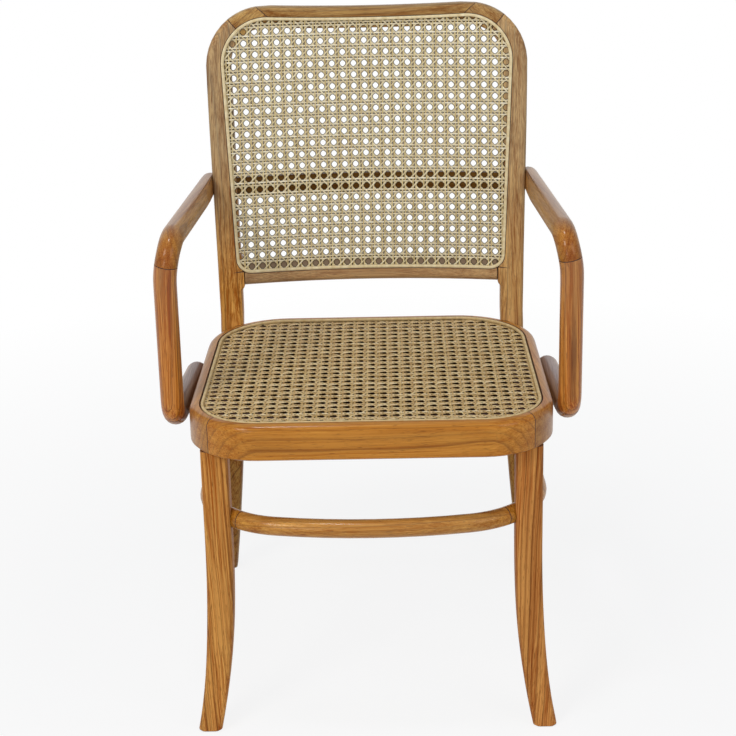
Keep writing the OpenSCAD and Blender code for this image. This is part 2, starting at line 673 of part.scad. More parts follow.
// A sheet bent to the back's curve, between two depths behind the front face
module bent_sheet(b0, b1, u0, u1) {
    translate([0, curve_y, u0]) difference() {
        translate([0, b1, 0]) cylinder(r = curve_r, h = u1 - u0, $fn = 360);
        translate([0, b0, -1]) cylinder(r = curve_r, h = u1 - u0 + 2, $fn = 360);
        translate([-2 * curve_r, -2 * curve_r + b1, -1]) cube([4 * curve_r, 2 * curve_r, u1 - u0 + 2]);
    }
}
module back_mid_rail() color(teak) place() back_place() {
    b = rabbet_d + glue;
    end = post_in(mid_rail_low) - glue;
    difference() {
        intersection() {
            bent_sheet(b, b + mid_rail_t, mid_rail_low, mid_rail_low + mid_rail_h);
            translate([-end, 0, mid_rail_low - 1])
                cube([2 * end, frame_d + back_curve + 9, mid_rail_h + 2]);
        }
        for (side = [-1, 1]) on_side(side) mid_rail_dowel(glue);
    }
}
// The opening's outline with the dip at its top, set in by d
module panel_outline(d) {
    difference() {
        outline(panel, d);
        translate([0, panel_high - top_dip + dip_r]) circle(r = dip_r + d, $fn = 360);
    }
}
// A block through the whole depth of the back, from an outline seen from the front
module through_back() rotate([90, 0, 0]) translate([0, 0, -back_curve - frame_d])
    linear_extrude(back_curve + 2 * frame_d) children();
module back_cane() color(cane_colour) place() back_place() {
    top = rabbet_d - glue;
    intersection() {
        bent_sheet(top - cane_t, top, panel_low - 1, panel_high + 1);
        through_back() difference() {
            panel_outline(2 * cane_fit);
            for (p = net(panel, back_pitch, spline_w + 4))
                translate(p) square(back_pitch * (1 - strand_share), center = true);
        }
    }
}
module back_spline() color(reed_colour) place() back_place() {
    intersection() {
        bent_sheet(-spline_proud, rabbet_d - cane_t - 2 * glue, panel_low - 1, panel_high + 1);
        through_back() difference() {
            panel_outline(2 * cane_fit);
            panel_outline(2 * cane_fit + spline_w);
        }
    }
}

// Arms

arm_r = arm_d / 2;
// Corners of the arm's middle line, on the right side
arm_tail_z = arm_h - arm_fall;
post_at_arm = arm_tail_z - seat_h;
arm_tail_y = post_front_y + post_at_arm * tan(recline) + arm_tail;
arm_tail_p = [post_out(post_at_arm) + arm_gap, arm_tail_y, arm_tail_z];
arm_post_x = half_w + arm_post_out;
arm_top_p = [arm_post_x - arm_lean, arm_post_y - 1, arm_h];
arm_knee_p = [arm_post_x, arm_post_y, arm_h - arm_bend_r * 1.467];
arm_low_p = [arm_post_x, arm_post_y, arm_axis_z];
arm_foot_p = [side_x(ring, arm_post_y + arm_foot_l, 0) + arm_foot_out,
              arm_post_y + arm_foot_l - arm_r, arm_axis_z];
arm_knee_r = arm_bend_r * 4;

// A straight round bar from p to q
module bar(p, q, r) {
    d = q - p;
    translate(p) rotate([0, acos(d[2] / norm(d)), atan2(d[1], d[0])]) cylinder(r = r, h = norm(d));
}
upper_out = turn_out(arm_tail_p, arm_top_p, arm_knee_p, arm_bend_r);

// Dowel across the joint under the upper bend
module arm_upper_dowel(grow = 0) {
    v = unit(arm_knee_p - arm_top_p);
    l = dowel_l * 0.8 + 2 * grow;
    bar(upper_out - v * l / 2, upper_out + v * l / 2, dowel_d / 2 + grow);
}
// Dowel across the mitre of the lower bend
lower_turn = turn_of(arm_knee_p, arm_low_p, arm_foot_p);
lower_mid = let (n = unit(unit(arm_foot_p - arm_low_p) - unit(arm_low_p - arm_knee_p)),
                 c = arm_low_p + n * arm_low_bend_r / cos(lower_turn / 2))
    c - n * arm_low_bend_r;
module arm_lower_dowel(grow = 0) {
    v = unit(unit(arm_foot_p - arm_low_p) + unit(arm_low_p - arm_knee_p));
    l = dowel_l * 0.8 + 2 * grow;
    bar(lower_mid - v * l / 2, lower_mid + v * l / 2, dowel_d / 2 + grow);
}
// Dowel from the arm's back end into the post
module arm_tail_dowel(grow = 0) {
    translate([post_out(post_at_arm) - 14, arm_tail_y - arm_tail + 12, arm_tail_z + 0.7])
        rotate([0, 90, 0]) cylinder(d = dowel_d + 2 * grow, h = 27 + grow);
}
// The block that stands for a post's outer face beside the arm
module post_side_block() {
    s = post_out(post_at_arm);
    slope = atan((post_out(post_at_arm + arm_r) - post_out(post_at_arm - arm_r)) / arm_d);
    back_place() translate(back_point(s, 0, post_at_arm))
        rotate([0, slope, 0])
            translate([-seat_w + 2 * glue, -3 * arm_d, -3 * arm_d]) cube([seat_w, 6 * arm_d, 6 * arm_d]);
}
side_ref = [1, 0, 0];
module arm_rest(side) color(teak) place() on_side(side) {
    out = unit(arm_tail_p - arm_top_p);
    difference() {
        skin(concat(
            nose_rings(arm_tail_p, out, -out, side_ref, arm_r, arm_r),
            [bar_ring(arm_tail_p, -out, side_ref, arm_r)],
            bend_rings(arm_tail_p, arm_top_p, arm_knee_p, arm_bend_r, side_ref, arm_r, 0, 1, 9)));
        post_side_block();
        arm_upper_dowel(glue);
        arm_tail_dowel(glue);
    }
}
module arm_post(side) color(teak) place() on_side(side) {
    difference() {
        skin(concat(
            [bar_ring(upper_out, unit(arm_knee_p - arm_top_p), side_ref, arm_r)],
            bend_rings(arm_top_p, arm_knee_p, arm_low_p, arm_knee_r, side_ref, arm_r, 0, 1, 4),
            bend_rings(arm_knee_p, arm_low_p, arm_foot_p, arm_low_bend_r, side_ref, arm_r, 0, 0.5, 5)));
        arm_upper_dowel(glue);
        arm_lower_dowel(glue);
    }
}
module arm_foot(side) color(teak_dark) place() on_side(side) {
    along = unit(arm_foot_p - arm_low_p);
    noses = nose_rings(arm_foot_p, along, along, side_ref, arm_r, arm_r);
    difference() {
        skin(concat(
            bend_rings(arm_knee_p, arm_low_p, arm_foot_p, arm_low_bend_r, side_ref, arm_r, 0.5, 1, 5),
            [bar_ring(arm_foot_p, along, side_ref, arm_r)],
            [for (i = [3 : -1 : 0]) noses[i]]));
        translate([0, 0, ring_z - 20]) linear_extrude(apron_h + 40) outline(ring, -glue);
        arm_lower_dowel(glue);
        arm_screw_pair(glue);
    }
}

// Fasteners

module seat_dowels() color(teak_light) place()
    for (side = [-1, 1]) on_side(side) all_ring_dowels();
module back_dowels() color(teak_light) place()
    for (side = [-1, 1]) on_side(side) back_place() {
        frame_side_dowels();
        scarf_dowel();
    }
module arm_dowels() color(teak_light) place()
    for (side = [-1, 1]) on_side(side) {
        arm_upper_dowel();
        arm_lower_dowel();
        arm_tail_dowel();
    }
module stretcher_dowels() color(teak_light) place()
    for (side = [-1, 1]) on_side(side) {
        hoop_dowel();
        hoop_end_dowel();
    }
module post_screws() color(steel) place()
    for (side = [-1, 1]) on_side(side) post_screw_pair();
module arm_screws() color(steel) place()
    for (side = [-1, 1]) on_side(side) arm_screw_pair();
module leg_screws() color(steel) place()
    for (side = [-1, 1]) on_side(side) leg_screw();

seat_front_rail();
seat_side_rail(-1);  // seat_side_rail_left
seat_side_rail(1);  // seat_side_rail_right
seat_back_rail();
seat_corner_blocks();
seat_cane();
seat_spline();
post(-1);  // post_left
post(1);  // post_right
back_corner(-1);  // back_corner_left
back_corner(1);  // back_corner_right
back_top_rail();
back_bottom_rail();
back_mid_rail();
back_cane();
back_spline();
arm_rest(-1);  // arm_rest_left
arm_rest(1);  // arm_rest_right
arm_post(-1);  // arm_post_left
arm_post(1);  // arm_post_right
arm_foot(-1);  // arm_foot_left
arm_foot(1);  // arm_foot_right
front_leg(-1);  // front_leg_left
front_leg(1);  // front_leg_right
stretcher_front();
stretcher_side(-1);  // stretcher_side_left
stretcher_side(1);  // stretcher_side_right
seat_dowels();
back_dowels();
arm_dowels();
stretcher_dowels();
post_screws();
arm_screws();
leg_screws();
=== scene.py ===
"""Looks of the teak armchair: satin teak, woven cane in the seat and the back, and the studio round it.

Sizes are in millimetres in the frame's own axes: X to the right, Y from the front to the back, Z up.
"""

import math

import bmesh
import bpy
from bpy.props import BoolProperty, FloatProperty, FloatVectorProperty, PointerProperty
from mathutils import Matrix, Vector


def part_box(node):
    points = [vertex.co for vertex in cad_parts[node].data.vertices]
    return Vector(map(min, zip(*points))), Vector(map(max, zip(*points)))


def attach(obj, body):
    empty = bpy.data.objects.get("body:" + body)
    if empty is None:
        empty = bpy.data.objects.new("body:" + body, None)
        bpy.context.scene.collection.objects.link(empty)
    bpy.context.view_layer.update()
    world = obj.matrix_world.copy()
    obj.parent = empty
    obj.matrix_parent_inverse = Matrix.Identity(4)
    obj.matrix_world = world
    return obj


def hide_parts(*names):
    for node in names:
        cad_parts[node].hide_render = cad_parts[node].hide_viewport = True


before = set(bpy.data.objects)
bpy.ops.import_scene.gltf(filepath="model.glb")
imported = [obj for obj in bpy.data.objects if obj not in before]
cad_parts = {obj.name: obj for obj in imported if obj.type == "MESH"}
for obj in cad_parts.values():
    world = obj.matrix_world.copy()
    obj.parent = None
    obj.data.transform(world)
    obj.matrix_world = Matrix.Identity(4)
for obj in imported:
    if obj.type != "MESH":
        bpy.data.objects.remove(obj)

bl_info = {
    "name": "Teak Armchair",
    "version": (1, 0, 0),
    "blender": (4, 5, 0),
    "location": "View3D > Sidebar > Armchair",
    "description": "Dresses the packed teak armchair with wood, woven cane and a studio",
    "category": "Object",
}

MM = 0.001
BODY = "root"


def sizes_of(node):
    """Lowest and highest corner of a CAD node in millimetres."""
    low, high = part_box(node)
    return low / MM, high / MM


# The seat ring's front edge and its top set the place of everything that is woven.
RING_LOW, RING_HIGH = sizes_of("seat_front_rail")
RING_FRONT = RING_LOW.y
SEAT_TOP = RING_HIGH.z
RING_DEPTH = sizes_of("seat_back_rail")[1].y - RING_FRONT
RING_HALF = sizes_of("seat_side_rail_right")[1].x


def linear(hex_colour):
    """An sRGB hex colour as linear red, green, blue and alpha."""
    channels = [int(hex_colour[i : i + 2], 16) / 255 for i in (1, 3, 5)]
    return [c / 12.92 if c <= 0.04045 else ((c + 0.055) / 1.055) ** 2.4 for c in channels] + [1.0]


class WeaveSizes(bpy.types.PropertyGroup):
    """Sizes of the woven cane, in millimetres."""

    seat_pitch: FloatProperty(
        name="Seat pitch", description="Distance between two holes of the seat's weave",
        default=15.6, min=10, max=25)
    back_pitch_across: FloatProperty(
        name="Back pitch across", description="Distance between two holes of the back's weave, across",
        default=15.0, min=10, max=25)
    back_pitch_up: FloatProperty(
        name="Back pitch up", description="Distance between two holes of the back's weave, up the back",
        default=15.6, min=10, max=25)
    strand_width: FloatProperty(
        name="Strand width", description="Width of one strand of cane", default=2.05, min=1, max=4)
    strand_thickness: FloatProperty(
        name="Strand thickness", description="Thickness of one strand of cane",
        default=0.85, min=0.3, max=1.5)
    pair_gap: FloatProperty(
        name="Pair spacing", description="Distance between the middles of two paired strands",
        default=3.9, min=2.5, max=7)
    spline_width: FloatProperty(
        name="Reed width", description="Width of the reed that locks the cane", default=4, min=2, max=6)


class BackSizes(bpy.types.PropertyGroup):
    """Sizes of the back's leaning, curved panel."""

    lean: FloatProperty(
        name="Lean", description="Angle that the back leans by",
        default=math.radians(4.5), subtype="ANGLE")
    curve: FloatProperty(
        name="Curve", description="Depth of the back's curve in millimetres", default=30, min=5, max=60)
    curve_half: FloatProperty(
        name="Curve half width", description="Half width that the curve is measured over, in millimetres",
        default=200, min=100, max=300)
    post_front: FloatProperty(
        name="Post front", description="Distance from the seat's front to the posts, in millimetres",
        default=392, min=300, max=500)
    groove: FloatProperty(
        name="Rabbet depth", description="Depth of the rabbet that holds the cane, in millimetres",
        default=5.5, min=2, max=10)


class TeakLook(bpy.types.PropertyGroup):
    """Colours and sheen of the wood."""

    honey: FloatVectorProperty(
        name="Honey", description="Colour of the darker fibres", size=4, subtype="COLOR", min=0, max=1,
        default=linear("#a95e1f"))
    pale: FloatVectorProperty(
        name="Pale", description="Colour of the lighter fibres", size=4,
        subtype="COLOR", min=0, max=1, default=linear("#efb05c"))
    dark: FloatVectorProperty(
        name="Dark", description="Colour of the growth rings", size=4, subtype="COLOR", min=0, max=1,
        default=linear("#5e3212"))
    # The next two colours are painted grey reflections of the sky, which the upper parts and the faces that
    # look up take on.
    sky_reflection_olive: FloatVectorProperty(
        name="Sky reflection, olive", description="Colour that the sun gives to the back", size=4,
        subtype="COLOR", min=0, max=1, default=linear("#98947f"))
    sky_reflection_violet: FloatVectorProperty(
        name="Sky reflection, violet", description="Colour that hands and rain give to the arms", size=4,
        subtype="COLOR", min=0, max=1, default=linear("#756b71"))
    ring: FloatProperty(
        name="Ring width", description="Width of one growth ring in millimetres", default=6, min=1, max=12)
    roughness: FloatProperty(
        name="Roughness", description="Roughness of the satin lacquer", default=0.38, min=0.05, max=1)


class StudioSettings(bpy.types.PropertyGroup):
    """Camera and lamps."""

    camera_place: FloatVectorProperty(
        name="Camera place", description="Where the camera stands", subtype="TRANSLATION", unit="LENGTH",
        default=(0.0261, RING_FRONT * MM - 2.0056, 1.2421))
    camera_pitch: FloatProperty(
        name="Camera pitch", description="How far the camera looks down", subtype="ANGLE",
        default=math.radians(19.76))
    camera_turn: FloatProperty(
        name="Camera turn", description="How far the camera looks to the left", subtype="ANGLE",
        default=math.radians(0.79))
    camera_roll: FloatProperty(
        name="Camera roll", description="How far the camera leans", subtype="ANGLE",
        default=math.radians(-1.29))
    lens: FloatProperty(
        name="Lens", description="Focal length in millimetres on a 36 mm sensor", default=86.79,
        min=20, max=200)
    key_power: FloatProperty(
        name="Key power", description="Power of the lamp overhead in watts", default=9, min=0, max=500)
    fill_power: FloatProperty(
        name="Fill power", description="Power of the lamps at the front in watts", default=28, min=0, max=500)
    shadow: BoolProperty(
        name="Floor shadow", description="Whether the floor keeps the chair's shadow", default=True)


class ArmchairSettings(bpy.types.PropertyGroup):
    """Everything that the sidebar shows."""

    weave: PointerProperty(type=WeaveSizes)
    back: PointerProperty(type=BackSizes)
    teak: PointerProperty(type=TeakLook)
    studio: PointerProperty(type=StudioSettings)


def settings():
    """The armchair's settings in this scene."""
    return bpy.context.scene.teak_armchair


# Materials

# Lengths of the teak's figure in millimetres, along the grain and across it. The wander is a hand wide,
# the streaks are a millimetre or two apart, the bands are a finger wide, and the board's tone changes over
# some centimetres. Real pores are a little finer, and are drawn coarser so that they show.
WANDER = (330, 55)
STREAKS = (320, 1.5)
BANDS = (380, 8)
BOARD_TONE = (300, 45)
PORES = (14, 0.7)
WANDER_REACH = 14
# Heights above the floor in millimetres. The painted grey reflection of the sky grows between the first two,
# and behind the chair's middle the seat's painted shade ends between the last two. The last number is how
# dark that painted shade is, from 0 to 1.
REFLECTION_FROM, REFLECTION_FULL = 500, 700
PAINTED_SHADE_FULL, PAINTED_SHADE_ENDS = 380, 420
PAINTED_SHADE = 0.72


def add_node(tree, kind, inputs=None, **values):
    """Adds a node, sets its values, and fills its inputs with constants or with links from sockets."""
    made = tree.nodes.new(kind)
    for name, value in values.items():
        setattr(made, name, value)
    for key, value in (inputs or {}).items():
        if isinstance(value, bpy.types.NodeSocket):
            tree.links.new(value, made.inputs[key])
        else:
            made.inputs[key].default_value = value
    return made


def point_data(tree, name):
    """The vector that the mesh's points hold under a name."""
    return add_node(tree, "ShaderNodeAttribute", attribute_name=name).outputs["Vector"]


def new_material(name):
    """An empty node material and its tree."""
    material = bpy.data.materials.new(name)
    material.use_nodes = True
    material.node_tree.nodes.clear()
    return material, material.node_tree


def set_ramp(ramp, *stops):
    """Gives a colour ramp its stops, each a position and a grey level or a colour."""
    elements = ramp.color_ramp.elements
    while len(elements) > 1:
        elements.remove(elements[-1])
    for i, (position, level) in enumerate(stops):
        stop = elements[0] if i == 0 else elements.new(position)
        stop.position = position
        stop.color = level if hasattr(level, "__len__") else (level, level, level, 1)


def scaled(tree, vector, along, across):
    """The plank's coordinates divided by a length along the grain and one across it, in millimetres."""
    return add_node(
        tree, "ShaderNodeVectorMath", {0: vector, 1: (1 / along, 1 / across, 1 / across)},
        operation="MULTIPLY").outputs[0]


def satin_teak(name, tint=1.0, redness=0.0, figure=0.7, sheen=0.0, dull=0.0, mixed_tone=None, bend=(0.5, 0)):
    """Quarter-sawn teak under a satin lacquer: honey brown with dark ring lines and fine open pores.

    tint is how light the wood is and redness how red. figure is how strongly the grain shows, sheen how
    much of the lacquer is left, dull how much rougher it is, aged the colour of the painted grey reflection
    of the sky, and bend how much darker and how much redder end grain is.
    """
    look = settings().teak
    material, tree = new_material(name)
    plank = point_data(tree, "plank")
    # The rings wander slowly, so that no line is straight.
    wander = add_node(tree, "ShaderNodeTexNoise", {
        "Vector": scaled(tree, plank, *WANDER), "Scale": 1, "Detail": 3, "Roughness": 0.45}).outputs["Color"]
    shift = add_node(tree, "ShaderNodeVectorMath", {
        0: wander, 1: (WANDER_REACH, WANDER_REACH, WANDER_REACH)}, operation="MULTIPLY").outputs[0]
    moved = add_node(tree, "ShaderNodeVectorMath", {0: plank, 1: shift}).outputs[0]
    # Growth rings lie round the middle of the tree, which runs along the plank.
    section = add_node(tree, "ShaderNodeVectorMath", {
        0: moved, 1: (0, 1, 1)}, operation="MULTIPLY").outputs[0]
    radius = add_node(tree, "ShaderNodeVectorMath", {0: section}, operation="LENGTH").outputs["Value"]
    rings = add_node(tree, "ShaderNodeMath", {0: radius, 1: look.ring}, operation="DIVIDE").outputs[0]
    phase = add_node(tree, "ShaderNodeMath", {0: rings}, operation="FRACT").outputs[0]
    number = add_node(tree, "ShaderNodeMath", {0: rings}, operation="FLOOR").outputs[0]
    strength = add_node(tree, "ShaderNodeTexWhiteNoise", {
        "W": number}, noise_dimensions="1D").outputs["Value"]
    profile = add_node(tree, "ShaderNodeValToRGB", {"Fac": phase})
    set_ramp(profile, (0.0, 1.0), (0.14, 0.65), (0.3, 0.15), (0.7, 0.0), (0.92, 0.3), (1.0, 1.0))
    line = add_node(tree, "ShaderNodeMath", {
        0: profile.outputs["Color"], 1: strength}, operation="MULTIPLY").outputs[0]
    # Long soft streaks of the fibres lie in bands.
    streak = add_node(tree, "ShaderNodeTexNoise", {
        "Vector": scaled(tree, moved, *STREAKS), "Scale": 1, "Detail": 3, "Roughness": 0.65}).outputs["Fac"]
    band = add_node(tree, "ShaderNodeTexNoise", {
        "Vector": scaled(tree, moved, *BANDS), "Scale": 1, "Detail": 2, "Roughness": 0.5}).outputs["Fac"]
    fibre = add_node(tree, "ShaderNodeMix", {"Factor": 0.42, "A": streak, "B": band}).outputs["Result"]
    tone = add_node(tree, "ShaderNodeTexNoise", {
        "Vector": scaled(tree, plank, *BOARD_TONE), "Scale": 1, "Detail": 2}).outputs["Fac"]
    pore = add_node(tree, "ShaderNodeTexNoise", {
        "Vector": scaled(tree, moved, *PORES), "Scale": 1, "Detail": 1}).outputs["Fac"]
    pores = add_node(tree, "ShaderNodeMapRange", {
        "Value": pore, "From Min": 0.62, "From Max": 0.74, "To Min": 0.0, "To Max": 1.0}).outputs[0]

    # Colour of the wood, from the fibres to the board's tone, the ring lines and the pores.
    fibres = add_node(tree, "ShaderNodeMapRange", {
        "Value": fibre, "From Min": 0.49 - 0.11 / figure, "From Max": 0.49 + 0.11 / figure,
        "To Min": 0.0, "To Max": 1.0}).outputs[0]
    wood = add_node(tree, "ShaderNodeMix", {
        "Factor": fibres, "A": look.honey, "B": look.pale}, data_type="RGBA").outputs["Result"]
    for share in (
            add_node(tree, "ShaderNodeMapRange", {
                "Value": tone, "From Min": 0.3, "From Max": 0.75, "To Min": 0.0, "To Max": 0.32}).outputs[0],
            add_node(tree, "ShaderNodeMath", {0: line, 1: 0.8 * figure}, operation="MULTIPLY").outputs[0],
            add_node(tree, "ShaderNodeMath", {0: pores, 1: 0.75}, operation="MULTIPLY").outputs[0]):
        wood = add_node(tree, "ShaderNodeMix", {
            "Factor": share, "A": wood, "B": look.dark}, data_type="RGBA").outputs["Result"]

    # Painted grey reflection of the sky lies on the upper parts and on the faces that look up. Below zero,
    # these numbers are painted shade that makes the wood darker.
    painted_light_levels = point_data(tree, "painted_light_levels")
    painted_light_levels = add_node(tree, "ShaderNodeSeparateXYZ", {"Vector": painted_light_levels}).outputs
    place = point_data(tree, "place")
    place = add_node(tree, "ShaderNodeSeparateXYZ", {"Vector": place}).outputs
    reflection_by_height = add_node(tree, "ShaderNodeMapRange", {
        "Value": place["Z"], "From Min": REFLECTION_FROM, "From Max": REFLECTION_FULL, "To Min": 0.0,
        "To Max": 1.0}).outputs[0]
    painted_shade_by_height = add_node(tree, "ShaderNodeMapRange", {
        "Value": place["Z"], "From Min": PAINTED_SHADE_FULL, "From Max": PAINTED_SHADE_ENDS, "To Min": -PAINTED_SHADE,
        "To Max": 0.0}).outputs[0]
    painted_shade_behind = add_node(tree, "ShaderNodeMath", {0: place["Y"], 1: 0.0}, operation="GREATER_THAN").outputs[0]
    at_height = add_node(tree, "ShaderNodeMix", {
        "Factor": reflection_by_height, "A": painted_light_levels["X"], "B": painted_light_levels["Y"]}).outputs[0]
    normal = add_node(tree, "ShaderNodeNewGeometry").outputs["Normal"]
    rise = add_node(tree, "ShaderNodeSeparateXYZ", {"Vector": normal}).outputs["Z"]
    rise = add_node(tree, "ShaderNodeMath", {0: rise, 1: 0.0}, operation="MAXIMUM").outputs[0]
    rise = add_node(tree, "ShaderNodeMath", {0: rise, 1: rise}, operation="MULTIPLY").outputs[0]
    painted_light_and_end_grain = add_node(tree, "ShaderNodeMath", {
        0: painted_light_levels["Z"], 1: rise, 2: at_height}, operation="MULTIPLY_ADD").outputs[0]
    # End grain drinks more lacquer, so a bend that is cut across the grain is darker and redder.
    grain = point_data(tree, "grain")
    end = add_node(tree, "ShaderNodeVectorMath", {
        0: normal, 1: grain}, operation="DOT_PRODUCT").outputs["Value"]
    end = add_node(tree, "ShaderNodeMath", {0: end, 1: end}, operation="MULTIPLY").outputs[0]
    darker, redder = bend
    painted_light_and_end_grain = add_node(tree, "ShaderNodeMath", {
        0: end, 1: -darker, 2: painted_light_and_end_grain}, operation="MULTIPLY_ADD").outputs[0]
    hue = add_node(tree, "ShaderNodeMath", {
        0: end, 1: -redder, 2: 0.5 - redness}, operation="MULTIPLY_ADD").outputs[0]
    # Painted shade of the seat darkens the rear legs and the back half of the stretcher.
    painted_light_and_end_grain = add_node(tree, "ShaderNodeMath", {
        0: painted_shade_by_height, 1: painted_shade_behind, 2: painted_light_and_end_grain}, operation="MULTIPLY_ADD").outputs[0]
    value = add_node(tree, "ShaderNodeMapRange", {
        "Value": painted_light_and_end_grain, "From Min": -1.0, "From Max": 0.0, "To Min": 0.35 * tint,
        "To Max": tint}).outputs[0]
    # Lacquer that is left on the wood deepens its colour.
    tinted = add_node(tree, "ShaderNodeHueSaturation", {
        "Color": wood, "Hue": hue, "Saturation": 1 + 0.17 * sheen, "Value": value}).outputs["Color"]
    # The painted grey reflection keeps the grain: the hard fibres stay darker than the soft ones.
    mixed_tone = list(mixed_tone or look.sky_reflection_olive)[:3]
    hard, soft = ([share * c for c in mixed_tone] + [1.0] for share in (0.5, 1.42))
    grey = add_node(tree, "ShaderNodeMix", {
        "Factor": fibres, "A": hard, "B": soft}, data_type="RGBA").outputs["Result"]
    coloured = add_node(tree, "ShaderNodeMix", {
        "Factor": painted_light_and_end_grain, "A": tinted, "B": grey}, data_type="RGBA").outputs["Result"]
    # The pores are sunk, and the pale fibres stand a little above the dark ones.
    relief = add_node(tree, "ShaderNodeMath", {0: pores, 1: streak}, operation="SUBTRACT").outputs[0]
    bump = add_node(tree, "ShaderNodeBump", {
        "Height": relief, "Strength": 0.12, "Distance": 0.0004}, invert=True).outputs["Normal"]
    # The oil under the lacquer warms what the fibres mirror, and the lacquer itself mirrors white.
    surface = add_node(tree, "ShaderNodeBsdfPrincipled", {
        "Base Color": coloured, "Roughness": look.roughness + dull, "IOR": 1.5, "Normal": bump,
        "Specular IOR Level": 0.35, "Specular Tint": look.pale, "Coat Weight": sheen, "Coat Roughness": 0.16})
    add_node(tree, "ShaderNodeOutputMaterial", {"Surface": surface.outputs["BSDF"]})
    return material


def dark_joints_and_painted_shade():
    """Dark brown lacquer in the joints and along the sharp edges, also used as painted shade on the seat's
    ledge, made once.
    """
    return bpy.data.materials.get("Dark joints and painted shade") or plain_material(
        "Dark joints and painted shade", "#3d2010", 0.6)


def painted_shade_ledge():
    """Painted shade on the bottom rail's ledge under the back's cane, made once."""
    return bpy.data.materials.get("Painted shade on the ledge") or plain_material("Painted shade on the ledge", "#86705a", 0.8)


def natural_cane(name, tones):
    """Rattan skin: smooth, faintly glossy and straw coloured, with greener and browner strands among them."""
    material, tree = new_material(name)
    strand = point_data(tree, "strand")
    parts = add_node(tree, "ShaderNodeSeparateXYZ", {"Vector": strand})
    # The blotches are about 17 mm long.
    shade = add_node(tree, "ShaderNodeTexNoise", {
        "Vector": strand, "Scale": 0.06, "Detail": 3, "Roughness": 0.7}).outputs["Fac"]
    straw = add_node(tree, "ShaderNodeValToRGB", {"Fac": parts.outputs["X"]})
    set_ramp(straw, *((place, linear(hex_colour)) for place, hex_colour in zip((0.0, 0.35, 0.7, 1.0), tones)))
    mottled = add_node(tree, "ShaderNodeMix", {
        "Factor": add_node(tree, "ShaderNodeMapRange", {
            "Value": shade, "From Min": 0.42, "From Max": 0.72, "To Min": 0.0, "To Max": 0.35}).outputs[0],
        "A": straw.outputs["Color"], "B": linear("#a58a55")}, data_type="RGBA")
    # The upright strands are stretched more and are yellower, and the crossing ones are paler.
    mixed_tone = add_node(tree, "ShaderNodeMix", {
        "Factor": parts.outputs["Z"], "A": mottled.outputs["Result"],
        "B": add_node(tree, "ShaderNodeMix", {
            "Factor": 1.0, "A": mottled.outputs["Result"], "B": linear("#ece0bb")},
            data_type="RGBA", blend_type="MULTIPLY").outputs["Result"]}, data_type="RGBA")
    surface = add_node(tree, "ShaderNodeBsdfPrincipled", {
        "Base Color": mixed_tone.outputs["Result"], "Roughness": 0.5, "IOR": 1.5})
    add_node(tree, "ShaderNodeOutputMaterial", {"Surface": surface.outputs["BSDF"]})
    return material


def pith_and_painted_shade(name, dark, light):
    """The parts of a strand away from the skin, dull and brown: the inner face, and the cut sides in painted
    shade.
    """
    material, tree = new_material(name)
    strand = point_data(tree, "strand")
    # Dust on the inner face and painted shade on the cut sides lie in spots about 5 mm long.
    dust = add_node(tree, "ShaderNodeTexNoise", {
        "Vector": strand, "Scale": 0.2, "Detail": 2}).outputs["Fac"]
    colour = add_node(tree, "ShaderNodeValToRGB", {"Fac": dust})
    set_ramp(colour, (0.35, linear(dark)), (0.7, linear(light)))
    surface = add_node(tree, "ShaderNodeBsdfPrincipled", {
        "Base Color": colour.outputs["Color"], "Roughness": 0.9, "Specular IOR Level": 0.1})
    add_node(tree, "ShaderNodeOutputMaterial", {"Surface": surface.outputs["BSDF"]})
    return material


def plain_material(name, colour, roughness, metallic=0.0):
    """A surface of one colour, for what is almost hidden."""
    material, tree = new_material(name)
    surface = add_node(tree, "ShaderNodeBsdfPrincipled", {
        "Base Color": linear(colour), "Roughness": roughness, "Metallic": metallic})
    add_node(tree, "ShaderNodeOutputMaterial", {"Surface": surface.outputs["BSDF"]})
    return material


def peeled_reed(name, dark, light):
    """Peeled reed core: pale and dull, with short fibres along its length."""
    material, tree = new_material(name)
    strand = point_data(tree, "strand")
    # The fibres are about 8 mm long.
    fibres = add_node(tree, "ShaderNodeTexNoise", {
        "Vector": strand, "Scale": 0.12, "Detail": 4}).outputs["Fac"]
    colour = add_node(tree, "ShaderNodeValToRGB", {"Fac": fibres})
    set_ramp(colour, (0.3, linear(dark)), (0.7, linear(light)))
    surface = add_node(tree, "ShaderNodeBsdfPrincipled", {
        "Base Color": colour.outputs["Color"], "Roughness": 0.6})
    add_node(tree, "ShaderNodeOutputMaterial", {"Surface": surface.outputs["BSDF"]})
    return material


# Wooden pieces

# How wide an arris is eased, in millimetres.
EASED_EDGE = 0.55


def grain_frame(along):
    """Three axes of a plank: the first runs along the grain."""
    first = Vector(along).normalized()
    helper = Vector((0, 0, 1)) if abs(first.z) < 0.8 else Vector((0, 1, 0))
    second = helper.cross(first).normalized()
    return first, second, first.cross(second)


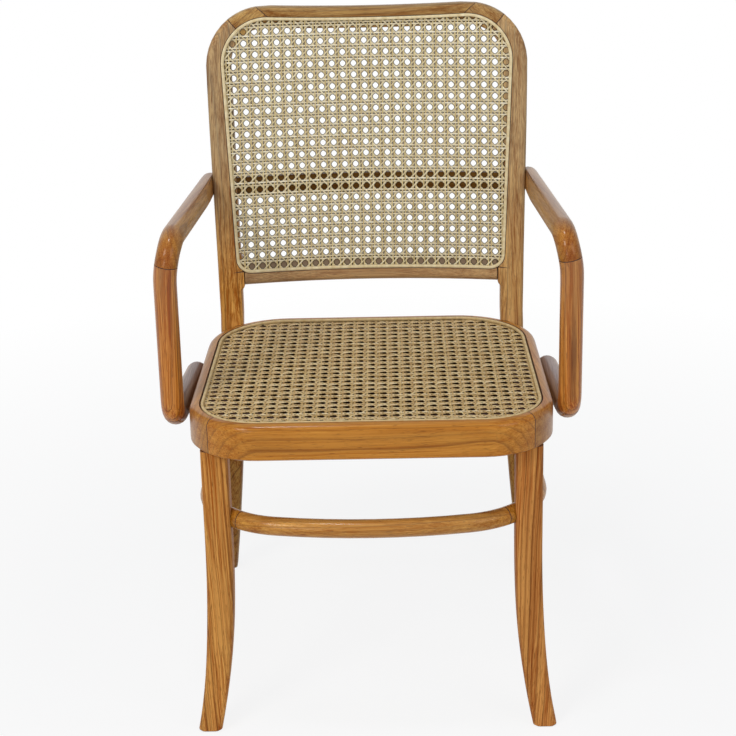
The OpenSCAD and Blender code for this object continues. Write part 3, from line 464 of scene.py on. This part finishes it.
def wooden_piece(node, along, order, material, heart=None, painted_light_and_end_grain=(0, 0, 0)):
    """The CAD node's shape with eased edges, as if cut from a plank whose grain runs along one direction.

    order is the plank's place in the pile, which sets how its rings run. heart is the direction in which
    the middle of the tree lay: a face that looks that way shows arches, and one at its side shows lines.
    weather is how much painted grey reflection of the sky the piece gets up to the seat's height and at the
    top, and how much more where it faces up. Below zero it is painted shade that makes the piece darker.
    """
    piece = bpy.data.objects.new("visual_" + node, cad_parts[node].data.copy())
    bpy.context.scene.collection.objects.link(piece)
    shape = bmesh.new()
    shape.from_mesh(piece.data)
    bmesh.ops.remove_doubles(shape, verts=shape.verts, dist=0.02 * MM)
    # The flat ends become one face each, so that their edges can be eased.
    bmesh.ops.dissolve_limit(shape, angle_limit=math.radians(0.4), verts=shape.verts, edges=shape.edges)
    shape.to_mesh(piece.data)
    shape.free()
    piece.data.polygons.foreach_set("use_smooth", [True] * len(piece.data.polygons))
    first, second, third = grain_frame(along)
    # The golden angle and the golden ratio keep any two planks unlike.
    if heart:
        turn = math.atan2(Vector(heart).dot(third), Vector(heart).dot(second))
    else:
        turn = order * 2.4
    reach = 60 + 80 * (order * 0.618 % 1)
    offset = Vector((order * 137.0, reach * math.cos(turn), reach * math.sin(turn)))
    centre = sum((Vector(c) for c in piece.bound_box), Vector()) / 8
    to_plank = Matrix((first, second, third))
    points = [vertex.co for vertex in piece.data.vertices]
    # The last of these holds how much painted grey reflection and how much painted shade the piece gets.
    for name, vectors in (
            ("plank", [to_plank @ ((point - centre) / MM) + offset for point in points]),
            ("place", [point / MM for point in points]),
            ("grain", [first] * len(points)),
            ("painted_light_levels", [painted_light_and_end_grain] * len(points))):
        attribute = piece.data.attributes.new(name, "FLOAT_VECTOR", "POINT")
        attribute.data.foreach_set("vector", [value for vector in vectors for value in vector])
    piece.data.materials.clear()
    for finish in (material, dark_joints_and_painted_shade(), painted_shade_ledge()):
        piece.data.materials.append(finish)
    # Painted shade darkens the seat's ledge under the cane, in the colour of the dark joints, and the bottom
    # rail's ledge.
    for face in piece.data.polygons:
        below = SEAT_TOP - face.center.z / MM
        if node.startswith("seat_") and face.normal.z > 0.9 and 3 < below < 12:
            face.material_index = 1
        elif (node == "back_bottom_rail" and face.normal.y < -0.8
              and -below / math.cos(settings().back.lean) > back_shape()["low"] + 1):
            face.material_index = 2
    ease = piece.modifiers.new("Eased edges", "BEVEL")
    ease.width, ease.segments, ease.limit_method = EASED_EDGE * MM, 2, "ANGLE"
    ease.angle_limit, ease.use_clamp_overlap = math.radians(50), False
    # Lacquer and dust gather along the arrises, so every joint shows as a thin dark line.
    ease.material = 1
    weights = piece.modifiers.new("Even shading", "WEIGHTED_NORMAL")
    weights.keep_sharp = True
    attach(piece, BODY)
    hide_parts(node)


# Woven cane

# Outlines in millimetres: the seat ring's taper, rim and corners, and the back's opening.
SEAT_TAPER, SEAT_RIM, SEAT_CORNERS = 6, 13, (90, 108)
BACK_LOW, BACK_HIGH = 74, 430.5
BACK_HALF_WIDTHS, BACK_CORNERS, BACK_DIP = (188.8, 202.5), (22, 62.5), 3.5
# A reed's lower and upper side, measured from the ledge that the cane lies on, and its rounding.
REED_LOW, REED_HIGH, REED_ROUNDING = 2.2, 6.0, 0.8


def trapezoid(low, high, half_low, half_high, radius_low, radius_high):
    """A rounded trapezoid: its straight sides, and the middles of its right-hand corners."""
    lean = math.atan2(half_low - half_high, high - low)
    low_middle = (half_low - radius_low * (1 + math.sin(lean)) / math.cos(lean), low + radius_low)
    rise = high - radius_high - low
    high_middle = (half_low - (radius_high + rise * math.sin(lean)) / math.cos(lean), high - radius_high)
    return {"low": low, "high": high, "half": half_low, "lean": lean,
            "corners": ((low_middle, radius_low, -1), (high_middle, radius_high, 1))}


def depth_inside(shape, x, y):
    """How far a point lies inside a rounded trapezoid, negative outside it."""
    x = abs(x)
    side = (shape["half"] - (y - shape["low"]) * math.tan(shape["lean"]) - x) * math.cos(shape["lean"])
    depth = min(side, y - shape["low"], shape["high"] - y)
    for (cx, cy), radius, way in shape["corners"]:
        if x > cx and (y - cy) * way > 0:
            depth = min(depth, radius - math.hypot(x - cx, y - cy))
    return depth


def outline(shape, inset):
    """Points round a rounded trapezoid, set in from its edge, from the middle of its low side."""
    step = 4.0
    half = []
    for (cx, cy), radius, way in shape["corners"]:
        first, last = (-math.pi / 2, shape["lean"]) if way < 0 else (shape["lean"], math.pi / 2)
        count = max(3, round((last - first) * radius / step))
        for i in range(count + 1):
            a = first + (last - first) * i / count
            half.append((cx + (radius - inset) * math.cos(a), cy + (radius - inset) * math.sin(a)))
    whole = half + [(-x, y) for x, y in reversed(half)]
    dense = []
    for (x0, y0), (x1, y1) in zip(whole, whole[1:] + whole[:1]):
        pieces = max(1, round(math.hypot(x1 - x0, y1 - y0) / (3 * step)))
        dense += [(x0 + (x1 - x0) * k / pieces, y0 + (y1 - y0) * k / pieces) for k in range(pieces)]
    return dense


def seat_shape():
    """Outline of the seat ring, measured from its front edge."""
    # The sides run together towards the back, and at the front edge they would lie 0.1 mm outside the box.
    half = RING_HALF + 0.1
    return trapezoid(0, RING_DEPTH, half, half - SEAT_TAPER, *SEAT_CORNERS)


def back_shape():
    """Outline of the rabbet round the back's cane, measured up from the seat."""
    return trapezoid(BACK_LOW, BACK_HIGH, *BACK_HALF_WIDTHS, *BACK_CORNERS)


def back_dip(x):
    """How far the top of the back's opening dips at x."""
    reach = back_shape()["corners"][1][0][0]
    radius = (reach**2 + BACK_DIP**2) / (2 * BACK_DIP)
    return 0 if abs(x) > reach else BACK_DIP - (radius - math.sqrt(radius**2 - x**2))


def on_seat(x, y, height):
    """A place of the seat's weave in metres, height above the ledge that it lies on."""
    return Vector((x, RING_FRONT + y, SEAT_TOP - settings().back.groove + height)) * MM


def on_back(x, y, height):
    """A place of the back's weave in metres, height in front of the ledge that it lies on."""
    back = settings().back
    radius = (back.curve_half**2 + back.curve**2) / (2 * back.curve)
    sag = math.sqrt(radius**2 - x**2) - math.sqrt(radius**2 - back.curve_half**2)
    depth = back.groove - height + sag
    return Vector((
        x,
        RING_FRONT + back.post_front + depth * math.cos(back.lean) + y * math.sin(back.lean),
        SEAT_TOP + y * math.cos(back.lean) - depth * math.sin(back.lean),
    )) * MM


def strand_paths(shape, pitch, phase, pair_gap, dip):
    """Every strand of a six-way weave: its kind, 1 for an upright one, and its places and heights.

    Pairs of strands run both ways and weave plainly. One diagonal goes over the upright pairs and
    under the level ones, the other the opposite way, and both leave an eight-sided hole in each cell.
    """
    weave = settings().weave
    px, py = pitch
    half_gap = pair_gap / 2
    lift = weave.strand_thickness
    hem = weave.spline_width * 0.5
    margin = hem + SEAT_RIM if shape["low"] == 0 else hem
    paths = []

    def keep(kind, points):
        """Splits a strand where it leaves the outline, and flattens the last 6 mm before each end."""
        run = []
        for x, y, height in points:
            depth = min(depth_inside(shape, x, y) - margin, shape["high"] - dip(x) - y - margin)
            if depth > -0.5:
                run.append((x, y, height * min(1, max(0, depth / 6))))
            else:
                if len(run) > 2:
                    paths.append((kind, run))
                run = []
        if len(run) > 2:
            paths.append((kind, run))

    def pair_stations(pitch_along):
        """Stations of a straight strand within one cell, and how high it stands at each."""
        slope = half_gap + 1.7
        return ((0, 0.0), (half_gap, 1.0), (slope, 0.35), (pitch_along / 2, 0.0),
                (pitch_along - slope, -0.35), (pitch_along - half_gap, -1.0))

    # Far enough to cross either panel whole, also at a slant.
    reach = 520
    columns = range(-int(reach / px), int(reach / px))
    rows = range(-int(reach / py), int(reach / py))
    for i in columns:
        for side in (-1, 1):
            x = phase[0] + i * px + side * half_gap
            keep(1.0, [(x, phase[1] + j * py + s, side * up * lift * 0.5)
                       for j in rows for s, up in pair_stations(py)])
    for j in rows:
        for side in (-1, 1):
            y = phase[1] + j * py + side * half_gap
            keep(0.0, [(phase[0] + i * px + s, y, -side * up * lift * 0.5)
                       for i in columns for s, up in pair_stations(px)])
    steps = 6
    for n in range(-2 * len(rows), 2 * len(rows)):
        for way in (1, -1):
            keep(0.5, [(phase[0] + t * px, phase[1] + way * (t - n - 0.5) * py,
                        way * math.cos(2 * math.pi * t) * lift * 1.05)
                       for t in (i + k / steps for i in columns for k in range(steps))])
    return paths


def strand_object(name, vertices, faces, tones, finishes):
    """An object of swept strands, with each point's tone, length and kind for the finishes to read."""
    mesh = bpy.data.meshes.new(name)
    mesh.from_pydata(vertices, [], faces)
    attribute = mesh.attributes.new("strand", "FLOAT_VECTOR", "POINT")
    attribute.data.foreach_set("vector", [value for tone in tones for value in tone])
    for finish in finishes:
        mesh.materials.append(finish)
    made = bpy.data.objects.new(name, mesh)
    bpy.context.scene.collection.objects.link(made)
    return made


def woven_panel(name, shape, pitch, phase, place, strand, finishes, dip=lambda x: 0):
    """Builds the strands of a panel as one mesh: a rounded skin on top, the cut sides in painted shade and
    the inner face.

    strand gives the skin's width, the spacing of a pair, the pith's depth and how many times as wide it is.
    """
    width, pair_gap, depth, spread = strand
    # The weave's middle lies 1.5 mm above the ledge.
    base, half, thick = 1.5, width / 2, settings().weave.strand_thickness
    # The first and the last two points bound the pith.
    section = ((-spread * half, -depth), (-half, -0.4 * thick), (-0.85 * half, 0.15 * thick),
               (-0.4 * half, 0.5 * thick), (0.4 * half, 0.5 * thick), (0.85 * half, 0.15 * thick),
               (half, -0.4 * thick), (spread * half, -depth))
    size_of_ring = len(section)
    vertices, faces, tones = [], [], []
    for number, (kind, path) in enumerate(strand_paths(shape, pitch, phase, pair_gap, dip)):
        # The golden ratio spreads the strands' tones evenly.
        tone = number * 0.618034 % 1
        length = 0.0
        for k, (x, y, height) in enumerate(path):
            x0, y0, _ = path[max(k - 1, 0)]
            x1, y1, _ = path[min(k + 1, len(path) - 1)]
            size = math.hypot(x1 - x0, y1 - y0)
            dx, dy = (x1 - x0) / size, (y1 - y0) / size
            length += size / 2
            start = len(vertices)
            for across, up in section:
                vertices.append(place(x + dy * across, y - dx * across, base + height + up))
                tones.append((tone, length, kind))
            if k:
                for c in range(size_of_ring):
                    d = (c + 1) % size_of_ring
                    before = start - size_of_ring
                    faces.append((before + c, before + d, start + d, start + c))
    panel = strand_object(name, vertices, faces, tones, finishes)
    # Of each ring's faces the first and the last but one are cut sides in painted shade, and the last is the
    # inner face.
    part_of_ring = [1] + [0] * (size_of_ring - 3) + [1, 2]
    parts = [part_of_ring[k % size_of_ring] for k in range(len(faces))]
    panel.data.polygons.foreach_set("use_smooth", [part == 0 for part in parts])
    panel.data.polygons.foreach_set("material_index", parts)
    return panel


def reed_loop(name, points, place, width, material):
    """A reed pressed into the rabbet all the way round: straight sides and a rounded top."""
    shoulder = REED_HIGH - REED_ROUNDING
    section = [(-width / 2, REED_LOW), (-width / 2, shoulder)]
    section += [(-width / 2 * math.cos(a), shoulder + REED_ROUNDING * math.sin(a))
                for a in (math.radians(30 * i) for i in range(1, 6))]
    section += [(width / 2, shoulder), (width / 2, REED_LOW)]
    vertices, faces, tones = [], [], []
    count, size, length = len(points), len(section), 0.0
    for k, (x, y) in enumerate(points):
        x0, y0 = points[k - 1]
        x1, y1 = points[(k + 1) % count]
        span = math.hypot(x1 - x0, y1 - y0)
        dx, dy = (x1 - x0) / span, (y1 - y0) / span
        length += span / 2
        for across, height in section:
            vertices.append(place(x + dy * across, y - dx * across, height))
            tones.append((0.5, length, 0.0))
        for c in range(size):
            d = (c + 1) % size
            following = (k + 1) % count
            faces.append((k * size + c, following * size + c, following * size + d, k * size + d))
    reed = strand_object(name, vertices, faces, tones, (material,))
    reed.data.polygons.foreach_set("use_smooth", [True] * len(faces))
    return reed


# Operators


class ARMCHAIR_OT_seat_frame(bpy.types.Operator):
    """Dress the four rails of the seat ring and the blocks in its corners"""

    bl_idname = "armchair.seat_frame"
    bl_label = "Seat frame"

    def execute(self, context):
        """Grain runs along each rail, so it comes to the surface where a corner turns."""
        sky_reflection_violet = settings().teak.sky_reflection_violet
        apron = satin_teak(
            "Golden teak, front of the seat", tint=0.96, redness=0.004, figure=0.65, sheen=0.4,
            bend=(0.15, 0))
        side = satin_teak("Brown teak, sides of the seat", tint=0.85, figure=0.6, sheen=0.2, mixed_tone=sky_reflection_violet)
        # The last three numbers give painted grey reflection of the sky, and below zero painted shade where
        # the rails face up.
        wooden_piece("seat_front_rail", (1, 0, 0.01), 1, apron, (0, 1, 0.35), (0, 0, -0.3))
        wooden_piece("seat_side_rail_left", (0.12, 1, 0), 2, side, (-1, 0, 0.3), (0.3, 0, -0.25))
        wooden_piece("seat_side_rail_right", (-0.12, 1, 0), 3, side, (1, 0, 0.3), (0.3, 0, -0.25))
        wooden_piece("seat_back_rail", (1, 0, 0), 4, side, (0, 1, 0.2), (0.3, 0, -0.25))
        wooden_piece("seat_corner_blocks", (1, 1, 0), 5, apron)
        return {"FINISHED"}


class ARMCHAIR_OT_back_frame(bpy.types.Operator):
    """Dress the posts, the top corners and the three rails of the back"""

    bl_idname = "armchair.back_frame"
    bl_label = "Back frame"

    def execute(self, context):
        """The corner blocks have their grain at a slant, as blocks sawn from a board do."""
        left = satin_teak("Golden teak, left post", tint=1.0, redness=-0.002, figure=1.25, dull=0.12)
        right = satin_teak("Pale teak, right post", tint=1.03, redness=-0.004, figure=1.05, dull=0.12)
        block = satin_teak("Olive teak, top corners", tint=0.93, redness=-0.01, figure=0.9)
        brown = satin_teak("Brown teak, top rail", tint=0.69, redness=-0.006, figure=0.9)
        pale = satin_teak("Pale teak, bottom rail", tint=1.08)
        # The last three numbers give painted grey reflection of the sky, most on the back's upper parts.
        wooden_piece("post_left", (0.04, 0, 1), 6, left, (0.35, 1, 0), (0, 0.5, 0.1))
        wooden_piece("post_right", (-0.03, 0, 1), 7, right, (1, -0.25, 0), (0.26, 0.5, 0.1))
        wooden_piece("back_corner_left", (1, 0, 0.8), 8, block, (0.6, 0, -1), (0, 0.25, 0.2))
        wooden_piece("back_corner_right", (1, 0, -0.8), 9, brown, (0.6, 0, 1), (0, 0.25, 0.2))
        wooden_piece("back_top_rail", (1, 0, 0.02), 10, brown, (0, 0.5, 1), (0, 0.15, 0.2))
        wooden_piece("back_bottom_rail", (1, 0, -0.01), 11, pale, (0, 0.5, 1), (0.5, 0.5, 0))
        # The middle rail is darkened with painted shade, for the shade of the cane in front of it.
        painted_shade_rail = satin_teak("Teak with painted shade, middle rail", tint=0.17)
        wooden_piece("back_mid_rail", (1, 0, 0), 12, painted_shade_rail, (0, 0.5, 1), (0, -0.3, 0))
        return {"FINISHED"}


class ARMCHAIR_OT_arms(bpy.types.Operator):
    """Dress the three pieces of each arm"""

    bl_idname = "armchair.arms"
    bl_label = "Arms"

    def execute(self, context):
        """The upright pieces are redder than the rests."""
        rest = satin_teak(
            "Brown teak, arm rests", tint=0.7, redness=-0.002, figure=0.7, sheen=0.3,
            mixed_tone=settings().teak.sky_reflection_violet, bend=(0.45, 0.022))
        red = satin_teak("Red teak, arm posts", tint=0.95, redness=0.012, figure=1.15, sheen=0.4)
        # The last three numbers give painted grey reflection of the sky, most where the rests and feet face
        # up.
        for side, way, number in (("left", 1, 13), ("right", -1, 16)):
            wooden_piece("arm_rest_" + side, (0.1 * way, 1, 0), number, rest, (way, 0, 0.4), (0.1, 0.1, 0.2))
            wooden_piece(
                "arm_post_" + side, (0.03 * way, 0, 1), number + 1, red, (0.25 * way, 1, 0), (0.05, 0.25, 0))
            wooden_piece("arm_foot_" + side, (0, 1, 0.05), number + 2, rest, (1, 0, 1), (0.2, 0, 0.6))
        return {"FINISHED"}


class ARMCHAIR_OT_legs(bpy.types.Operator):
    """Dress the front legs and the three bars of the stretcher"""

    bl_idname = "armchair.legs"
    bl_label = "Legs and stretcher"

    def execute(self, context):
        """Grain runs down each leg and along each bar. The right leg came from a redder plank."""
        gold = satin_teak("Golden teak, left leg", tint=0.99, redness=0.003, figure=1.3, dull=0.2)
        red = satin_teak("Red teak, right leg", tint=0.95, redness=0.008, figure=1.1, dull=0.2)
        bar = satin_teak("Honey teak, stretcher", tint=0.95, sheen=0.3)
        wooden_piece("front_leg_left", (-0.03, 0, 1), 19, gold, (1, 0.15, 0))
        wooden_piece("front_leg_right", (0.04, 0, 1), 20, red, (1, -0.3, 0))
        # The front bar gets a little painted grey reflection of the sky.
        wooden_piece("stretcher_front", (1, 0, 0.02), 21, bar, (0, 0.2, 1), (0.12, 0, 0))
        wooden_piece("stretcher_side_left", (0.1, 1, 0), 22, bar, (1, 0, 0.3))
        wooden_piece("stretcher_side_right", (-0.1, 1, 0), 23, bar, (1, 0, 0.3))
        return {"FINISHED"}


class ARMCHAIR_OT_seat_cane(bpy.types.Operator):
    """Weave the seat's cane and press its reed in"""

    bl_idname = "armchair.seat_cane"
    bl_label = "Seat cane"

    def execute(self, context):
        """The weave lies on the ring's ledge and its ends are under the reed."""
        weave = settings().weave
        shape = seat_shape()
        pitch = (weave.seat_pitch, weave.seat_pitch)
        # A hole's middle lies 0.9 mm right of the chair's middle, and the first row 41.2 mm back.
        phase = (0.9 - pitch[0] / 2, 41.2 - pitch[1] / 2)
        cane = natural_cane("Natural cane, seat", ("#b39562", "#d2b483", "#eedbb2", "#c1a168"))
        # The cut sides are nearly black: painted shade in the holes of the weave.
        sides = pith_and_painted_shade("Painted shade on the cut sides of the seat's cane", "#140b05", "#38240f")
        inner = pith_and_painted_shade("Inner face of the seat's cane", "#8a7148", "#bfa574")
        strand = (weave.strand_width, weave.pair_gap, 3.4, 0.8)
        panel = woven_panel("seat_cane_weave", shape, pitch, phase, on_seat, strand, (cane, sides, inner))
        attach(panel, BODY)
        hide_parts("seat_cane")
        # The reed is pressed in narrower than it was cut, and leaves 0.5 mm to the rim.
        width = weave.spline_width - 0.4
        points = outline(shape, SEAT_RIM + 0.5 + width / 2)
        finish = peeled_reed("Peeled reed, seat", "#c9ab74", "#e3cb98")
        reed = reed_loop("seat_reed", points, on_seat, width, finish)
        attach(reed, BODY)
        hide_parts("seat_spline")
        return {"FINISHED"}


class ARMCHAIR_OT_back_cane(bpy.types.Operator):
    """Weave the back's cane and press its reed in"""

    bl_idname = "armchair.back_cane"
    bl_label = "Back cane"

    def execute(self, context):
        """The weave follows the back's curve."""
        weave = settings().weave
        shape = back_shape()
        pitch = (weave.back_pitch_across, weave.back_pitch_up)
        # A hole's middle lies 3.6 mm left of the chair's middle and 317.3 mm above the seat.
        phase = (-3.6 - pitch[0] / 2, 317.3 - pitch[1] / 2)
        cane = natural_cane("Natural cane, back", ("#dccfae", "#f0e4c6", "#fdf6e0", "#e3d7b8"))
        # The cut sides are dark brown: painted shade in the gaps between the strands.
        sides = pith_and_painted_shade("Painted shade on the cut sides of the back's cane", "#382d20", "#61513a")
        inner = pith_and_painted_shade("Inner face of the back's cane", "#a08a60", "#d0b98a")
        strand = (weave.strand_width, weave.pair_gap, 1.0, 1.75)
        panel = woven_panel(
            "back_cane_weave", shape, pitch, phase, on_back, strand, (cane, sides, inner), back_dip)
        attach(panel, BODY)
        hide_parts("back_cane")
        # The reed leaves 0.4 mm to the frame, and its upper side follows the top rail's dip.
        inset = 0.4 + weave.spline_width / 2
        middle = (BACK_LOW + BACK_HIGH) / 2
        points = [(x, y - (back_dip(x) if y > middle else 0)) for x, y in outline(shape, inset)]
        finish = peeled_reed("Peeled reed, back", "#dcc48f", "#f2e3bb")
        reed = reed_loop("back_reed", points, on_back, weave.spline_width, finish)
        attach(reed, BODY)
        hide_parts("back_spline")
        return {"FINISHED"}


class ARMCHAIR_OT_fasteners(bpy.types.Operator):
    """Give the dowels and the screws their finish"""

    bl_idname = "armchair.fasteners"
    bl_label = "Dowels and screws"

    def execute(self, context):
        """They are almost hidden, so the CAD solids are kept."""
        beech = plain_material("Beech dowel", "#c9a877", 0.6)
        zinc = plain_material("Zinc plated screw", "#b9b9b4", 0.35, 1.0)
        for node in ("seat_dowels", "back_dowels", "arm_dowels", "stretcher_dowels",
                     "post_screws", "arm_screws", "leg_screws"):
            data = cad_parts[node].data
            data.materials.clear()
            data.materials.append(beech if node.endswith("dowels") else zinc)
        return {"FINISHED"}


def area_lamp(name, place, target, size, power, colour):
    """A square soft box that faces a target."""
    data = bpy.data.lights.new(name, "AREA")
    data.shape, data.size, data.energy = "SQUARE", size, power
    data.color = linear(colour)[:3]
    lamp = bpy.data.objects.new(name, data)
    lamp.location = place
    lamp.rotation_euler = (Vector(target) - Vector(place)).to_track_quat("-Z", "Y").to_euler()
    bpy.context.scene.collection.objects.link(lamp)


def seen_directly(tree):
    """1 where the camera looks straight at a surface, or sees it mirrored or through something."""
    ray = add_node(tree, "ShaderNodeLightPath")
    mirrored = add_node(tree, "ShaderNodeMath", {
        0: ray.outputs["Is Glossy Ray"], 1: ray.outputs["Is Transmission Ray"]},
        operation="MAXIMUM").outputs[0]
    return add_node(tree, "ShaderNodeMath", {
        0: ray.outputs["Is Camera Ray"], 1: mirrored}, operation="MAXIMUM").outputs[0]


class ARMCHAIR_OT_studio(bpy.types.Operator):
    """Set the floor, the lamps, the world and the camera"""

    bl_idname = "armchair.studio"
    bl_label = "Studio"

    def execute(self, context):
        """A white floor, a soft lamp overhead and three at the front."""
        studio = settings().studio
        scene = context.scene
        mesh = bpy.data.meshes.new("Studio floor")
        reach = 12.0
        mesh.from_pydata([(-reach, -reach, 0), (reach, -reach, 0), (reach, reach, 0), (-reach, reach, 0)],
                         [], [(0, 1, 2, 3)])
        floor = bpy.data.objects.new("studio_floor", mesh)
        scene.collection.objects.link(floor)
        material, tree = new_material("White floor")
        paper = add_node(tree, "ShaderNodeBsdfDiffuse", {"Color": linear("#e9e9e9")})
        glow = add_node(tree, "ShaderNodeEmission", {"Color": (1, 1, 1, 1), "Strength": 1.0})
        # The paper is plain white far away and takes the chair's shadow near its feet.
        place = add_node(tree, "ShaderNodeNewGeometry").outputs["Position"]
        away = add_node(tree, "ShaderNodeVectorMath", {0: place}, operation="LENGTH").outputs["Value"]
        clean = add_node(tree, "ShaderNodeMapRange", {
            "Value": away, "From Min": 0.5, "From Max": 1.7, "To Min": 0.86 if studio.shadow else 1.0,
            "To Max": 1.0}).outputs[0]
        share = add_node(tree, "ShaderNodeMath", {
            0: seen_directly(tree), 1: clean}, operation="MULTIPLY").outputs[0]
        both = add_node(tree, "ShaderNodeMixShader", {0: share, 1: paper.outputs[0], 2: glow.outputs[0]})
        add_node(tree, "ShaderNodeOutputMaterial", {"Surface": both.outputs[0]})
        mesh.materials.append(material)

        area_lamp("Overhead soft box", (-0.3, -0.6, 2.6), (0, 0, 0.45), 0.25, studio.key_power, "#f4f7ff")
        area_lamp("Left soft box", (-1.4, -2.2, 2.3), (0, 0, 0.5), 0.8, studio.fill_power, "#fffaf0")
        area_lamp("Right soft box", (2.0, -2.3, 1.9), (0, 0, 0.5), 1.6, studio.fill_power * 0.6, "#ffffff")
        area_lamp("Low window", (-1.0, -2.6, 0.8), (0, 0, 0.5), 0.7, studio.fill_power * 0.2, "#ffffff")

        world = bpy.data.worlds.new("Studio")
        world.use_nodes = True
        tree = world.node_tree
        tree.nodes.clear()
        room = add_node(tree, "ShaderNodeBackground", {"Color": linear("#dfe6f2"), "Strength": 0.4})
        white = add_node(tree, "ShaderNodeBackground", {"Color": (1, 1, 1, 1), "Strength": 1.0})
        both = add_node(tree, "ShaderNodeMixShader", {
            0: seen_directly(tree), 1: room.outputs[0], 2: white.outputs[0]})
        add_node(tree, "ShaderNodeOutputWorld", {"Surface": both.outputs[0]})
        scene.world = world
        scene.view_settings.view_transform = "Standard"

        data = bpy.data.cameras.new("Camera")
        data.lens, data.sensor_width = studio.lens, 36
        data.dof.use_dof = False
        camera = bpy.data.objects.new("Camera", data)
        camera.matrix_world = (
            Matrix.Translation(studio.camera_place)
            @ Matrix.Rotation(studio.camera_turn, 4, "Z")
            @ Matrix.Rotation(math.pi / 2 - studio.camera_pitch, 4, "X")
            @ Matrix.Rotation(studio.camera_roll, 4, "Z")
        )
        scene.collection.objects.link(camera)
        scene.camera = camera
        return {"FINISHED"}


class ARMCHAIR_PT_sidebar(bpy.types.Panel):
    """Lists the armchair's pieces and its main sizes"""

    bl_idname = "ARMCHAIR_PT_sidebar"
    bl_label = "Teak armchair"
    bl_space_type = "VIEW_3D"
    bl_region_type = "UI"
    bl_category = "Armchair"

    def draw(self, context):
        """Draws the settings above the buttons."""
        for group in ("weave", "back", "teak", "studio"):
            box = self.layout.box()
            owner = getattr(settings(), group)
            for name in owner.__annotations__:
                box.prop(owner, name)
        for operator in OPERATORS:
            self.layout.operator(operator.bl_idname)


GROUPS = (WeaveSizes, BackSizes, TeakLook, StudioSettings, ArmchairSettings)
OPERATORS = (
    ARMCHAIR_OT_seat_frame,
    ARMCHAIR_OT_back_frame,
    ARMCHAIR_OT_arms,
    ARMCHAIR_OT_legs,
    ARMCHAIR_OT_seat_cane,
    ARMCHAIR_OT_back_cane,
    ARMCHAIR_OT_fasteners,
    ARMCHAIR_OT_studio,
)


def register():
    """Registers the settings, the operators and the panel."""
    for cls in GROUPS + OPERATORS + (ARMCHAIR_PT_sidebar,):
        bpy.utils.register_class(cls)
    bpy.types.Scene.teak_armchair = PointerProperty(type=ArmchairSettings)


def unregister():
    """Takes them out again."""
    del bpy.types.Scene.teak_armchair
    for cls in reversed(GROUPS + OPERATORS + (ARMCHAIR_PT_sidebar,)):
        bpy.utils.unregister_class(cls)


def main():
    """Builds the whole chair."""
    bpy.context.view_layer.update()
    register()
    bpy.ops.armchair.seat_frame()
    bpy.ops.armchair.back_frame()
    bpy.ops.armchair.arms()
    bpy.ops.armchair.legs()
    bpy.ops.armchair.seat_cane()
    bpy.ops.armchair.back_cane()
    bpy.ops.armchair.fasteners()
    bpy.ops.armchair.studio()


if __name__ == "__main__":
    main()
